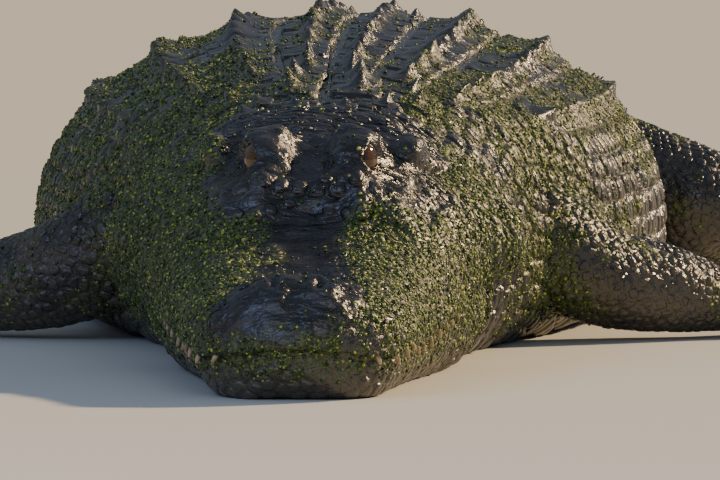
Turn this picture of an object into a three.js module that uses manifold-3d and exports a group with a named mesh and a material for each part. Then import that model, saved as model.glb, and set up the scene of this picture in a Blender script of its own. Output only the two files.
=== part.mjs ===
// An American alligator at rest, life size, as a still museum model.
// The animal lies on its belly with its chin on the ground. The snout points along -Y,
// +X is the animal's left and +Z is up. Sizes are in millimetres.
// A station is a distance along the back from the tip of the snout.

import * as THREE from "three";
import { mergeVertices } from "three/addons/utils/BufferGeometryUtils.js";
import Module from "manifold-3d";

const wasm = await Module();
wasm.setup();

// Driving sizes of the whole animal.
const totalLength = 3500;
const neckStart = 480; // the cut behind the skull
const neckEnd = 700;
const torsoEnd = 1840;
const gap = 0.3; // between pieces that touch
const sliver = 0.15; // corners that stand out less than this are merged
const bigSize = 4000; // larger than anything here, for half-space boxes

// The trunk behind the skull: station, half width, height of the back, height of the widest line.
const trunkRows = [
  [470, 152, 208, 104],
  [560, 152, 219, 100],
  [660, 164, 229, 98],
  [760, 194, 240, 96],
  [900, 236, 253, 88],
  [1080, 272, 263, 82],
  [1250, 286, 267, 80],
  [1450, 278, 263, 80],
  [1620, 242, 250, 82],
  [1760, 196, 232, 86],
  [1900, 156, 212, 86],
  [2100, 122, 188, 80],
  [2400, 90, 156, 68],
  [2700, 62, 124, 56],
  [3000, 40, 92, 43],
  [3300, 21, 56, 27],
  [3490, 7, 24, 12],
];
const backSquareness = 2.15; // superellipse power of the section above its widest line
const bellySquareness = 2.6;
const bellySink = 0.3; // share of the widest line's height by which the belly is pressed flat

// The tail bends to the animal's left and back again.
const bendStart = 1350;
const bendAngle = THREE.MathUtils.degToRad(11);
const bendGrowth = 1.2;
const bendWaves = 0.92;
const spineStep = 5;

// The head's main shell: station, half width, height of its roof, height of its widest line.
const headRows = [
  [0, 66, 70, 44],
  [30, 76, 80, 46],
  [80, 89, 88, 50],
  [150, 97, 99, 54],
  [220, 108, 118, 60],
  [265, 117, 140, 66],
  [310, 127, 160, 74],
  [360, 139, 178, 88],
  [420, 149, 192, 98],
  [500, 152, 203, 104],
];
const headSquareness = 2.5;

// Soft swellings of the head: side, station, reach sideways, reach along, rise, sharpness of the edge.
// Each stands on both sides of the head.
const swellings = [
  [0, 40, 50, 33, 12, 3.4], // the pad that carries the nostrils
  [17, 38, 13, 17, 6, 2.4], // the rim round each nostril
  [0, 22, 12, 14, -5, 2], // the notch between them
  [0, 165, 20, 70, -4, 2], // the shallow trough along the snout
  [62, 165, 26, 60, 5, 2], // the swelling over the tooth roots
  [52, 266, 34, 15, 14, 2.4], // the ridge in front of the eyes
  [0, 272, 40, 13, 7, 2],
  [0, 318, 14, 34, 6, 2], // the floor between the eyes
  [47, 314, 27, 35, 52, 3], // the brow over each eye
  [0, 352, 60, 16, 12, 2.2], // the step up to the roof of the skull
  [0, 412, 88, 52, 22, 6], // the flat roof of the skull
  [76, 404, 12, 48, 4, 2.4], // its raised edge
  [78, 316, 18, 44, 9, 2], // the socket's lower edge
];
// Soft swellings of its sides: station, height, reach along, reach in height, how far out, sharpness.
const cheeks = [
  [418, 112, 54, 30, 13, 2.2], // the jaw muscle
  [424, 74, 50, 10, -9, 2], // the shadow line under it
  [92, 52, 22, 14, 4, 2], // the swelling round the large front teeth
  [232, 50, 40, 14, 4, 2], // the festoon of the upper lip
];
const snoutRounding = 62; // length over which the snout closes, seen from above
const snoutDrop = 34; // length over which it closes, seen from the side
const snoutTipHeight = 44;
const lipStep = 6; // the upper jaw overhangs the lower one by this on each side

// The line of the mouth in side view: station, height.
const mouthRows = [
  [-40, 38],
  [0, 38],
  [45, 31],
  [95, 40],
  [150, 33],
  [230, 44],
  [320, 53],
  [380, 66],
  [430, 79],
  [520, 84],
];

const eye = { side: 44, station: 312, height: 182, radius: 17 };

// Upper teeth that show outside the lower lip: station, length.
const teeth = [
  [34, 9], [56, 12], [78, 14], [100, 11], [152, 9],
  [176, 12], [200, 15], [224, 12], [250, 10], [276, 9],
];
const toothWidth = 5;

// Keeled scutes stand in rows across the back, each rising from a valley to a keel near its rear.
const scute = { pitch: 60, shoulder: 0.24, peak: 0.78, shoulderShare: 0.42, edge: 3 };
const scuteKeels = [[4.8, 13], [19, 13], [34.7, 12], [52.2, 9]]; // turn from the top in degrees, height
const scuteVariation = 0.3;

// The big scutes of the nape and the small ones behind the skull: station, side, length, width, height.
const napeScutes = [
  [604, 27, 62, 46, 19],
  [606, 74, 50, 38, 13],
  [664, 25, 58, 44, 17],
  [660, 70, 44, 34, 10],
  [552, 52, 34, 26, 8],
  [514, 20, 26, 24, 6],
  [516, 62, 26, 26, 6],
];

// Whorls of scutes ring the tail. A crest runs along each side of its top, and the two meet in one.
const whorls = { count: 38, shrink: 0.986, ends: [0, 10, 22, 38], merge: 14, peak: 0.8 };
const crest = { first: 13, double: 27, single: 38, last: 7, outer: 0.3 };

function keyed(rows, s) {
  // Smooth curve through rows of [station, value, value, ...].
  const last = rows.length - 2;
  let i = 0;
  while (i < last && s > rows[i + 1][0]) i += 1;
  const [a, b] = [rows[i], rows[i + 1]];
  const [before, after] = [rows[Math.max(i - 1, 0)], rows[Math.min(i + 2, last + 1)]];
  const span = b[0] - a[0];
  const t = THREE.MathUtils.clamp((s - a[0]) / span, 0, 1);
  return a.slice(1).map((va, k) => {
    const vb = b[k + 1];
    const ma = ((vb - before[k + 1]) / (b[0] - before[0])) * span;
    const mb = ((after[k + 1] - va) / (after[0] - a[0])) * span;
    const [t2, t3] = [t * t, t * t * t];
    return (2 * t3 - 3 * t2 + 1) * va + (t3 - 2 * t2 + t) * ma + (3 * t2 - 2 * t3) * vb + (t3 - t2) * mb;
  });
}

// The spine's course over the ground, as a list with one point every spineStep.
const spine = [{ x: 0, y: 0, turn: 0 }];
for (let s = spineStep; s <= totalLength + spineStep; s += spineStep) {
  const u = Math.max(0, (s - bendStart) / (totalLength - bendStart));
  const turn = bendAngle * (1 + bendGrowth * u) * Math.sin(2 * Math.PI * bendWaves * u);
  const at = spine[spine.length - 1];
  spine.push({ x: at.x + spineStep * Math.sin(turn), y: at.y + spineStep * Math.cos(turn), turn });
}

// A point beside the spine: station, distance to the animal's left, height.
function beside(s, side, z) {
  const i = THREE.MathUtils.clamp(s / spineStep, 0, spine.length - 1.001);
  const [a, b] = [spine[Math.floor(i)], spine[Math.floor(i) + 1]];
  const f = i - Math.floor(i);
  const turn = a.turn + (b.turn - a.turn) * f;
  return new THREE.Vector3(
    a.x + (b.x - a.x) * f + side * Math.cos(turn),
    a.y + (b.y - a.y) * f - side * Math.sin(turn),
    z,
  );
}

// A closed solid from a sphere whose rings and sides are moved to place(ring, side).
// The first and last ring are single points.
function lofted(rings, sides, place) {
  const geometry = new THREE.SphereGeometry(1, sides, rings);
  const position = geometry.getAttribute("position");
  for (let ring = 0; ring <= rings; ring += 1)
    for (let side = 0; side <= sides; side += 1) {
      const p = place(ring, side % sides);
      position.setXYZ(ring * (sides + 1) + side, p.x, p.y, p.z);
    }
  return solidOf(geometry);
}

function solidOf(geometry) {
  const bare = geometry.clone();
  bare.deleteAttribute("normal");
  bare.deleteAttribute("uv");
  const merged = mergeVertices(bare, 1e-3);
  const triVerts = new Uint32Array(merged.index.array);
  const vertProperties = new Float32Array(merged.getAttribute("position").array);
  const made = new wasm.Manifold(new wasm.Mesh({ numProp: 3, vertProperties, triVerts }));
  if (made.volume() > 0) return made;
  for (let i = 0; i < triVerts.length; i += 3) {
    const first = triVerts[i];
    triVerts[i] = triVerts[i + 1];
    triVerts[i + 1] = first;
  }
  return new wasm.Manifold(new wasm.Mesh({ numProp: 3, vertProperties, triVerts }));
}

function united(solids) {
  return solids.reduce((sum, solid) => sum.add(solid));
}

// The largest closed body of a solid, rid of the slivers that cutting leaves.
function largest(solid) {
  const pieces = solid.simplify(sliver).decompose();
  return pieces.reduce((best, piece) => (piece.volume() > best.volume() ? piece : best));
}

// The outline of a section: angle 0 is the top, half a turn is the bottom, positive is the left.
function outline([halfWidth, top, girth], squareness, angle, lift = 0) {
  const [sin, cos] = [Math.sin(angle), Math.cos(angle)];
  const power = 2 / (cos >= 0 ? squareness : bellySquareness);
  const reach = cos >= 0 ? top - girth : girth * (1 + bellySink);
  const [w, h] = [halfWidth + lift, reach + lift];
  return {
    side: Math.sign(sin) * w * Math.abs(sin) ** power,
    z: Math.max(lift > 0 ? -lift : 0, girth + Math.sign(cos) * h * Math.abs(cos) ** power),
  };
}

// A repeatable number from 0 to 1 for each pair of whole numbers.
function varied(a, b) {
  const n = Math.sin(a * 12.9898 + b * 78.233) * 43758.5453;
  return n - Math.floor(n);
}

// Turns round one half of the torso and of the tail, in degrees from the top.
const torsoAngles = [0, 4.8, 11.4, 19, 26.5, 34.7, 43.3, 52.2, 60.7, 76, 93, 112, 136, 180];
const tailAngles = [0, 15, 33, 58, 90, 125, 180];

// How far the scutes of the back lift the surface in a given row, part of a row and angle.
function scuteLift(row, part, index, hand) {
  if (part === "valley") return 0;
  const share = part === "peak" ? 1 : scute.shoulderShare;
  const keel = scuteKeels.findIndex(([angle]) => angle === torsoAngles[index]);
  if (keel < 0) return index <= 2 * scuteKeels.length ? scute.edge * share : 0;
  const outer = keel === scuteKeels.length - 1 && (row < 2 || row > 15) ? 0.4 : 1;
  const size = 1 + scuteVariation * (varied(row, keel * hand) - 0.5) * 2;
  return scuteKeels[keel][1] * share * outer * size;
}

// How far the crests lift the top of the tail at the peak of a whorl.
function crestLift(whorl, index) {
  const size = 1 + 0.08 * (varied(whorl, 7) - 0.5);
  const { first, double, single, last, outer } = crest;
  const back = (whorl - whorls.merge) / (whorls.count - 1 - whorls.merge);
  if (whorl < whorls.merge) {
    const grown = whorl / (whorls.merge - 1);
    const keel = (first + (double - first) * grown) * size;
    return [keel * 0.12, keel, keel * outer, 0, 0][Math.min(index, 4)];
  }
  const blade = (last + (single - last) * (1 - back) ** 0.85) * size;
  return [blade, blade * 0.16, 0][Math.min(index, 2)];
}

// Both halves of a section: the turn from the top, the place in the half's list and the side.
function mirroredAngles(half) {
  const left = half.map((angle, index) => ({ angle, index, hand: 1 }));
  const reversed = left.slice(1, -1).reverse();
  const right = reversed.map(({ angle, index }) => ({ angle: 360 - angle, index, hand: -1 }));
  return [...left, ...right].map((a) => ({ ...a, angle: THREE.MathUtils.degToRad(a.angle) }));
}

// A length of trunk through stations of { s, lift(index, hand) }, flat at both ends.
function trunkPiece(stations, angles, grow = 0) {
  const rings = stations.length + 1;
  return lofted(rings, angles.length, (ring, side) => {
    const { s, lift } = stations[THREE.MathUtils.clamp(ring - 1, 0, stations.length - 1)];
    const section = keyed(trunkRows, s);
    if (ring === 0 || ring === rings) return beside(s, 0, section[2]);
    const { angle, index, hand } = angles[side];
    const raised = lift ? lift(index, hand) : 0;
    const at = outline(section, backSquareness, angle, grow);
    const out = outline(section, backSquareness, angle, grow + 1);
    const steep = Math.hypot(out.side - at.side, out.z - at.z) || 1;
    const share = raised / steep;
    return beside(s, at.side + (out.side - at.side) * share, at.z + (out.z - at.z) * share);
  });
}

function evenStations(from, to, count) {
  return Array.from({ length: count + 1 }, (_, i) => from + ((to - from) * i) / count);
}

// Stations of the torso, three for each row of scutes.
function torsoStations() {
  const rows = Math.round((torsoEnd - neckEnd) / scute.pitch);
  const stations = [];
  for (let row = 0; row < rows; row += 1)
    for (const [part, share] of [["valley", 0], ["shoulder", scute.shoulder], ["peak", scute.peak]])
      stations.push({
        s: neckEnd + (row + share) * scute.pitch,
        lift: (index, hand) => scuteLift(row, part, index, hand),
      });
  return [...stations, { s: torsoEnd }];
}

// Where each whorl of the tail begins.
const { count: whorlCount, shrink } = whorls;
const firstWhorl = ((totalLength - torsoEnd) * (1 - shrink)) / (1 - shrink ** whorlCount);
const whorlStart = (n) => torsoEnd + (firstWhorl * (1 - shrink ** n)) / (1 - shrink);

// Stations of a length of tail, two for each whorl.
function tailStations(from, to) {
  const stations = [];
  for (let n = from; n < to; n += 1) {
    const [start, end] = [whorlStart(n), whorlStart(n + 1)];
    const peak = start + (end - start) * whorls.peak;
    stations.push({ s: start }, { s: peak, lift: (index) => crestLift(n, index) });
  }
  return [...stations, { s: whorlStart(to) }];
}

// A rounded block: an ellipsoid with the given squareness, turned about the vertical.
function pebble(centre, radii, squareness = 2, turn = 0, sides = 16, rings = 10) {
  const power = 2 / squareness;
  const bent = (v) => Math.sign(v) * Math.abs(v) ** power;
  const made = lofted(rings, sides, (ring, side) => {
    const [polar, around] = [(Math.PI * ring) / rings, (2 * Math.PI * side) / sides];
    const waist = ring === 0 || ring === rings ? 0 : bent(Math.sin(polar));
    return new THREE.Vector3(
      radii[0] * waist * bent(Math.cos(around)),
      radii[1] * waist * bent(Math.sin(around)),
      radii[2] * bent(Math.cos(polar)),
    );
  });
  return made.rotate([0, 0, turn]).translate(centre);
}

// A tapering limb through rows of [x, y, z, half width, half height], rounded at both ends.
function limb(rows, rings, sides, lift = 0, endRings = 3) {
  const curve = (pick) => new THREE.CatmullRomCurve3(rows.map(pick), false, "catmullrom");
  const line = curve(([x, y, z]) => new THREE.Vector3(x, y, z));
  const size = curve((row) => new THREE.Vector3(row[3], row[4], 0));
  const bodyRings = rings - 2 * endRings;
  return lofted(rings, sides, (ring, side) => {
    const t = THREE.MathUtils.clamp((ring - endRings) / bodyRings, 0, 1);
    const centre = line.getPoint(t);
    const along = line.getTangent(t);
    const across = new THREE.Vector3(along.y, -along.x, 0).normalize();
    const up = new THREE.Vector3().crossVectors(across, along).normalize();
    const { x: wide, y: high } = size.getPoint(t);
    const past = ring < endRings ? ring - endRings : Math.max(0, ring - endRings - bodyRings);
    const close = (past / endRings) * (Math.PI / 2);
    const around = (2 * Math.PI * side) / sides;
    const point = centre
      .addScaledVector(along, Math.sin(close) * (Math.min(wide, high) + lift))
      .addScaledVector(across, Math.cos(close) * (wide + lift) * Math.cos(around))
      .addScaledVector(up, Math.cos(close) * (high + lift) * Math.sin(around));
    point.z = Math.max(point.z, lift > 0 ? -lift : 0);
    return point;
  });
}

// Everything on one side of a plane across Y.
function halfSpaceY(y, keepBehind) {
  const box = solidOf(new THREE.BoxGeometry(bigSize, bigSize, bigSize));
  return box.translate([0, keepBehind ? y + bigSize / 2 : y - bigSize / 2, 0]);
}

// Everything above the line of the mouth.
function aboveMouth(lift) {
  const [from, to] = [mouthRows[0][0], mouthRows[mouthRows.length - 1][0]];
  const points = evenStations(from, to, 40).map((s) => new THREE.Vector2(s, keyed(mouthRows, s)[0] + lift));
  const [high, wide] = [600, 500]; // past the head on every side
  points.push(new THREE.Vector2(to, high), new THREE.Vector2(from, high));
  const options = { depth: wide, bevelEnabled: false, steps: 1 };
  const geometry = new THREE.ExtrudeGeometry(new THREE.Shape(points), options);
  geometry.translate(0, 0, -wide / 2);
  // The shape's own axes x, y, z become the model's y, z, x.
  geometry.applyMatrix4(new THREE.Matrix4().set(0, 0, 1, 0, 1, 0, 0, 0, 0, 1, 0, 0, 0, 0, 0, 1));
  return solidOf(geometry);
}

const headAngles = [0, 6, 11.5, 17.5, 24, 31, 39, 48, 58, 69, 80, 93, 108, 126, 150, 180];
const headStations = [
  0, 2.5, 8, 16, 26, 38, 50, 64, 84, 112, 146, 182, 214, 240, 256, 270, 284, 298, 312, 326,
  340, 354, 368, 386, 410, 432, 456, 480, 500,
];
const jawStations = [7, 10, 16, 26, 42, 64, 92, 130, 180, 240, 300, 370, 430, 480, 500];

// A soft mound of height 1: distance from its middle along each axis as a share of its reach.
const mound = (across, along, sharpness) =>
  Math.exp(-(Math.abs(across) ** sharpness + Math.abs(along) ** sharpness));

// The shell of the head, or of the lower jaw when it is drawn in at the sides.
function headShell(drawIn, stations, half) {
  const angles = mirroredAngles(half);
  const rings = stations.length - 1;
  return lofted(rings, angles.length, (ring, side) => {
    const s = stations[ring];
    const section = keyed(headRows, s);
    if (ring === rings) return new THREE.Vector3(0, s, section[2]);
    const past = s - stations[0];
    const plan = Math.sqrt(Math.max(0, 1 - (1 - Math.min(1, past / snoutRounding)) ** 2));
    const drop = Math.max(0, 1 - (1 - Math.min(1, past / snoutDrop)) ** 2) ** 0.4;
    const { angle } = angles[side];
    const at = outline([section[0] - drawIn, section[1], section[2]], headSquareness, angle);
    const point = new THREE.Vector3(at.side * plan, s, snoutTipHeight + (at.z - snoutTipHeight) * drop);
    const facingUp = THREE.MathUtils.smoothstep(Math.cos(angle), 0.04, 0.4);
    const hand = Math.sign(point.x);
    const width = Math.abs(point.x);
    for (const [x, y, wide, long, rise, sharpness] of swellings)
      point.z += facingUp * drop * rise * mound((width - x) / wide, (s - y) / long, sharpness);
    for (const [y, z, long, high, out, sharpness] of cheeks)
      point.x += hand * (1 - facingUp) * out * mound((s - y) / long, (point.z - z) / high, sharpness);
    return point;
  });
}

function mirroredPair(make) {
  return [1, -1].flatMap(make);
}

const eyeCentre = (hand) => [hand * eye.side, eye.station, eye.height];
const eyeBall = (hand, lift) => pebble(eyeCentre(hand), Array(3).fill(eye.radius + lift), 2, 0, 12, 8);
const earFlap = (hand, lift) =>
  pebble([hand * 92, 398, 186], [6 + lift, 30 + lift, 10 + lift], 2.6, hand * -5, 10, 6);

// A point on the outer edge of the upper lip.
function lipEdge(s, hand) {
  const [halfWidth, top, girth] = keyed(headRows, s);
  const z = keyed(mouthRows, s)[0];
  const below = Math.min(1, (girth - z) / (girth * (1 + bellySink)));
  const plan = Math.sqrt(1 - (1 - Math.min(1, s / snoutRounding)) ** 2);
  const share = (1 - below ** bellySquareness) ** (1 / bellySquareness);
  return [hand * halfWidth * share * plan, s, Math.min(z, top)];
}

// A tooth stands in the upper lip, outside the lower one, and points down and a little out.
function tooth([s, length], hand) {
  const [x, y, z] = lipEdge(s, hand);
  const tip = [x - hand * 1, y, z - length];
  const root = [x - hand * 2.6, y, z + 6];
  const levels = [[1, 0], [0.5, 0.36], [0, 0.5], [-0.1, 0]]; // share of the length, and of the width
  return lofted(levels.length - 1, 5, (ring, side) => {
    const [along, wide] = levels[ring];
    const around = (2 * Math.PI * side) / 5;
    const at = root.map((v, k) => v + (tip[k] - v) * along);
    return new THREE.Vector3(
      at[0] + toothWidth * wide * 0.8 * Math.cos(around),
      at[1] + toothWidth * wide * Math.sin(around),
      at[2],
    );
  });
}

function makeHead() {
  const added = [
    headShell(0, headStations, headAngles),
    ...mirroredPair((hand) => [
      pebble([hand * 60, 312, 181], [12, 25, 16], 2.2, hand * 6, 14, 8), // the rims of both lids
    ]),
  ];
  const removed = mirroredPair((hand) => [
    eyeBall(hand, gap),
    pebble([hand * 71, 307, 182], [19, 18, 9.5], 2.4, hand * 12, 14, 6), // the opening between the lids
    pebble([hand * 17, 33, 97], [4.5, 9, 9], 2, hand * -32, 10, 6), // nostril
    earFlap(hand, gap),
    pebble([hand * 99, 398, 171], [9, 27, 3], 2, hand * -5, 10, 4), // the slit under the ear flap
  ]);
  const shaped = united(added).subtract(united(removed)).intersect(aboveMouth(gap / 2));
  const cut = shaped.intersect(halfSpaceY(neckStart - gap / 2, false));
  return largest(united([cut, ...mirroredPair((hand) => teeth.map((one) => tooth(one, hand)))]));
}

function makeLowerJaw() {
  const jawAngles = headAngles.filter((angle) => angle === 0 || angle > 60);
  const shell = headShell(lipStep, jawStations, jawAngles).subtract(aboveMouth(-gap / 2));
  return largest(shell.intersect(halfSpaceY(neckStart - gap / 2, false)));
}

// Joint centres of the right or left legs, as rows of [x, y, z, half width, half height].
function foreLeg(hand) {
  return [
    [hand * 112, 772, 120, 60, 64],
    [hand * 182, 792, 88, 50, 52],
    [hand * 236, 812, 58, 44, 45],
    [hand * 294, 838, 45, 41, 39],
    [hand * 354, 866, 30, 28, 25],
    [hand * 392, 884, 17, 38, 17],
  ];
}

const hipStation = 1765;
function hindLeg(hand) {
  const reach = hand > 0 ? 1 : 0.86; // the right knee is drawn in a little
  const rows = [
    [92, 8, 120, 74, 80],
    [188, -22, 101, 66, 66],
    [280, -40, 80, 55, 55],
    [298, 36, 57, 45, 45],
    [290, 104, 35, 34, 31],
    [324, 146, 20, 37, 20],
  ];
  return rows.map(([side, along, z, wide, high]) => {
    const p = beside(hipStation + along, hand * side * reach, z);
    return [p.x, p.y, z, wide, high];
  });
}

// Toes fan out from the last row of a leg. Each is [turn in degrees, length, whether it bears a claw].
const foreToes = [[-54, 58, true], [-26, 74, true], [0, 80, true], [27, 72, false], [54, 54, false]];
const hindToes = [[-36, 92, true], [-12, 116, true], [12, 120, true], [36, 96, false]];

function toeRows(leg, hand, [turn, length], thick, hindward) {
  const [root, before] = [leg[leg.length - 1], leg[leg.length - 2]];
  const heading = hindward ? 0 : Math.atan2(root[1] - before[1], hand * (root[0] - before[0]));
  const angle = heading + THREE.MathUtils.degToRad(turn);
  const [dx, dy] = [hand * Math.cos(angle), Math.sin(angle)];
  return [0.15, 0.45, 0.75, 1].map((f, i) => {
    const reach = root[3] * 0.35 + length * f;
    const fat = thick * [1.15, 1, 0.9, 0.62][i];
    return [root[0] + dx * reach, root[1] + dy * reach, fat * [1.1, 1.25, 1, 0.8][i], fat, fat];
  });
}

// A claw grows out of the last rows of a toe.
function clawRows(toe) {
  const [a, b] = [toe[2], toe[3]];
  const [dx, dy] = [b[0] - a[0], b[1] - a[1]];
  const span = Math.hypot(dx, dy);
  const rows = [[-3, 6.5, 6], [8, 6, 4.2], [18, 4, 2.6], [25, 1.6, 1.1]];
  return rows.map(([ahead, z, thick]) => {
    const [x, y] = [b[0] + (dx / span) * ahead, b[1] + (dy / span) * ahead];
    return [x, y, z, thick * 0.8, thick];
  });
}

function webbing(toes) {
  // A thin sheet between neighbouring toes of the hind foot.
  return toes.slice(1).map((toe, i) => {
    const [a, b] = [toes[i], toe];
    const middle = (k) => [(a[k][0] + b[k][0]) / 2, (a[k][1] + b[k][1]) / 2];
    const wide = (k) => Math.hypot(a[k][0] - b[k][0], a[k][1] - b[k][1]) / 2;
    const rows = [
      [...middle(0), 7, wide(0), 4],
      [...middle(1), 6, wide(1), 2.4],
      [...middle(2), 5, wide(2) * 0.8, 1.6],
    ];
    return limb(rows, 4, 6, 0, 1);
  });
}

// A thin disc across a leg, which parts it at a joint.
function cutAcross(rows, index) {
  const [a, at, b] = [rows[index - 1], rows[index], rows[index + 1]];
  const along = new THREE.Vector3(b[0] - a[0], b[1] - a[1], b[2] - a[2]).normalize();
  const geometry = new THREE.CylinderGeometry(at[3] * 2.3, at[3] * 2.3, gap, 24);
  geometry.applyQuaternion(new THREE.Quaternion().setFromUnitVectors(new THREE.Vector3(0, 1, 0), along));
  geometry.translate(at[0], at[1], at[2]);
  return solidOf(geometry);
}

// A plate with a keel along it, sunk into the back of the neck.
function napeScute([s, side, length, width, height], hand) {
  const section = keyed(trunkRows, s);
  const share = Math.min(1, side / section[0]);
  const rise = (1 - share ** backSquareness) ** (1 / backSquareness);
  const top = section[2] + (section[1] - section[2]) * rise;
  const lean = Math.atan2(side * 0.9, section[1] - section[2] + 60) * hand;
  const sunk = 9;
  const levels = [
    [0, 0, height], [0.62, 0.1, height * 0.86], [0.86, 0.6, height * 0.3], [1, 1, -2], [0, 0, -sunk],
  ];
  const corners = height > 9 ? 8 : 5;
  const made = lofted(levels.length - 1, corners, (ring, corner) => {
    const around = (2 * Math.PI * corner) / corners;
    const [long, wide, z] = levels[ring];
    const rearward = z > 0 ? length * 0.13 : 0; // the keel is highest towards its rear
    return new THREE.Vector3(
      (width / 2) * wide * Math.cos(around),
      (length / 2) * long * Math.sin(around) + rearward,
      z,
    );
  });
  return made.rotate([0, THREE.MathUtils.radToDeg(lean), 0]).translate([hand * side, s, top]);
}

function makeNeck(stations, angles) {
  const scutes = mirroredPair((hand) => napeScutes.map((one) => napeScute(one, hand)));
  return largest(united([trunkPiece(stations, angles), ...scutes]));
}

// One leg with its foot, parted at its joints, and its claws.
function makeLeg({ names, joints, toes, toeThick, hindward }, hand) {
  const side = hand > 0 ? "left" : "right";
  const rows = joints(hand);
  const toeLines = toes.map((toe) => toeRows(rows, hand, toe, toeThick, hindward));
  const toeSolid = (line, lift) => limb(line, 7, 6, lift, 2);
  // The knee bends sharply, so thigh and shank are two limbs that join there.
  const bones = hindward
    ? [limb(rows.slice(0, 3), 9, 12), limb(rows.slice(2), 11, 11), ...webbing(toeLines)]
    : [limb(rows, 16, 12)];
  const whole = united([...bones, ...toeLines.map((line) => toeSolid(line, 0))]).subtract(trunkGrown);
  const parted = whole.subtract(united([cutAcross(rows, 2), cutAcross(rows, 4)]));
  const pieces = parted.simplify(sliver).decompose().sort((a, b) => b.volume() - a.volume()).slice(0, 3);
  const flesh = names.map((name, i) => {
    const middle = rows[2 * i + 1];
    const distance = (piece) => {
      const { min, max } = piece.boundingBox();
      return Math.hypot(...[0, 1, 2].map((k) => (min[k] + max[k]) / 2 - middle[k]));
    };
    const nearest = pieces.reduce((best, piece) => (distance(piece) < distance(best) ? piece : best));
    return [`${name}_${side}`, nearest, "skin"];
  });
  const claws = toes.flatMap((toe, i) => {
    if (!toe[2]) return [];
    const claw = limb(clawRows(toeLines[i]), 6, 6, 0, 1).subtract(toeSolid(toeLines[i], gap));
    return [[`claw_${names[2]}_${side}_${i + 1}`, largest(claw), "claw"]];
  });
  return [...flesh, ...claws];
}

const foreLimb = {
  names: ["upper_arm", "forearm", "hand"],
  joints: foreLeg,
  toes: foreToes,
  toeThick: 12,
  hindward: false,
};
const hindLimb = {
  names: ["thigh", "shank", "foot"],
  joints: hindLeg,
  toes: hindToes,
  toeThick: 13,
  hindward: true,
};

const torsoRound = mirroredAngles(torsoAngles);
const tailRound = mirroredAngles(tailAngles);
const neckStations = evenStations(neckStart, neckEnd, 4).map((s) => ({ s }));
const trunkLengths = [
  ["neck", neckStations, torsoRound],
  ["torso", torsoStations(), torsoRound],
  ...["tail_base", "tail_middle", "tail_tip"].map((name, i) => [
    name,
    tailStations(whorls.ends[i], whorls.ends[i + 1]),
    tailRound,
  ]),
];

// The stations with both ends moved inwards, or outwards if shift is negative.
function trimmed(stations, shift) {
  const [first, last] = [stations[0], stations[stations.length - 1]];
  return [{ ...first, s: first.s + shift }, ...stations.slice(1, -1), { ...last, s: last.s - shift }];
}

// The trunk as the legs have to clear it, a little larger and with no gaps across it.
const trunkGrown = united(
  trunkLengths
    .slice(0, 3)
    .map(([, stations, angles]) => trunkPiece(trimmed(stations, -gap), angles, gap * 1.3)),
);

const solids = [
  ["head", makeHead(), "skin"],
  ["lower_jaw", makeLowerJaw(), "skin"],
  ...mirroredPair((hand) => [
    [`eye_${hand > 0 ? "left" : "right"}`, eyeBall(hand, 0), "eye"],
    [`ear_${hand > 0 ? "left" : "right"}`, earFlap(hand, 0), "skin"],
  ]),
  ...trunkLengths.map(([name, stations, angles]) => {
    const make = name === "neck" ? makeNeck : trunkPiece;
    return [name, make(trimmed(stations, gap / 2), angles).simplify(sliver), "skin"];
  }),
  ...mirroredPair((hand) => [...makeLeg(foreLimb, hand), ...makeLeg(hindLimb, hand)]),
];

// Finishes, seen from a step away.
const materials = {
  skin: new THREE.MeshStandardMaterial({ color: 0x2b2e30, roughness: 0.5, metalness: 0 }),
  eye: new THREE.MeshStandardMaterial({ color: 0x6b4a2c, roughness: 0.15, metalness: 0 }),
  claw: new THREE.MeshStandardMaterial({ color: 0x3a352d, roughness: 0.4, metalness: 0 }),
};

function meshOf([name, solid, material]) {
  const { numProp, numVert, vertProperties, triVerts } = solid.getMesh();
  const points = new Float32Array(numVert * 3);
  for (let i = 0; i < numVert; i += 1) {
    points.set(vertProperties.subarray(i * numProp, i * numProp + 3), i * 3);
  }
  const geometry = new THREE.BufferGeometry();
  geometry.setAttribute("position", new THREE.BufferAttribute(points, 3));
  geometry.setIndex(new THREE.BufferAttribute(triVerts, 1));
  geometry.computeVertexNormals();
  const mesh = new THREE.Mesh(geometry, materials[material]);
  mesh.name = name;
  return mesh;
}

const alligator = new THREE.Group();
alligator.add(...solids.map(meshOf));

// The origin is under the middle of the animal, on the ground.
const middle = new THREE.Box3().setFromObject(alligator).getCenter(new THREE.Vector3());
alligator.position.set(-middle.x, -middle.y, 0);

export default alligator;
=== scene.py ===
# American alligator lying with its chin on the floor: the looks of a still, life-size museum model.
# Everything is in metres. A station is a distance along the back from the tip of the snout.
import itertools
import math

import bmesh
import bpy
import numpy as np
from mathutils import Matrix, Vector
from mathutils.bvhtree import BVHTree
from mathutils.kdtree import KDTree


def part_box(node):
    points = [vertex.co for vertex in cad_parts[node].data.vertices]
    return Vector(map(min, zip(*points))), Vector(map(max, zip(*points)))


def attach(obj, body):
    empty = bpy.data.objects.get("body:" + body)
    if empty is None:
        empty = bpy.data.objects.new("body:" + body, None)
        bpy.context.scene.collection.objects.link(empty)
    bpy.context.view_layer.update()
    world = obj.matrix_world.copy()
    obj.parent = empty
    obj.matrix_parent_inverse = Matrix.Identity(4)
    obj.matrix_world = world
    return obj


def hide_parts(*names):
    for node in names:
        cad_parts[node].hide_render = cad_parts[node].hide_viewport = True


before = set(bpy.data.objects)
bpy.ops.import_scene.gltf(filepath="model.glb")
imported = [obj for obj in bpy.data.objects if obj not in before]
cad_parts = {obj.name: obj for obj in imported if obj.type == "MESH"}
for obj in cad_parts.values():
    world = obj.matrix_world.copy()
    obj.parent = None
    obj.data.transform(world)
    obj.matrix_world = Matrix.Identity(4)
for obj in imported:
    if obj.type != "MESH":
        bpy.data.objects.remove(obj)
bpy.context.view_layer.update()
mm = 0.001
hands = {"left": 1, "right": -1}
random = np.random.default_rng(31)

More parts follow.
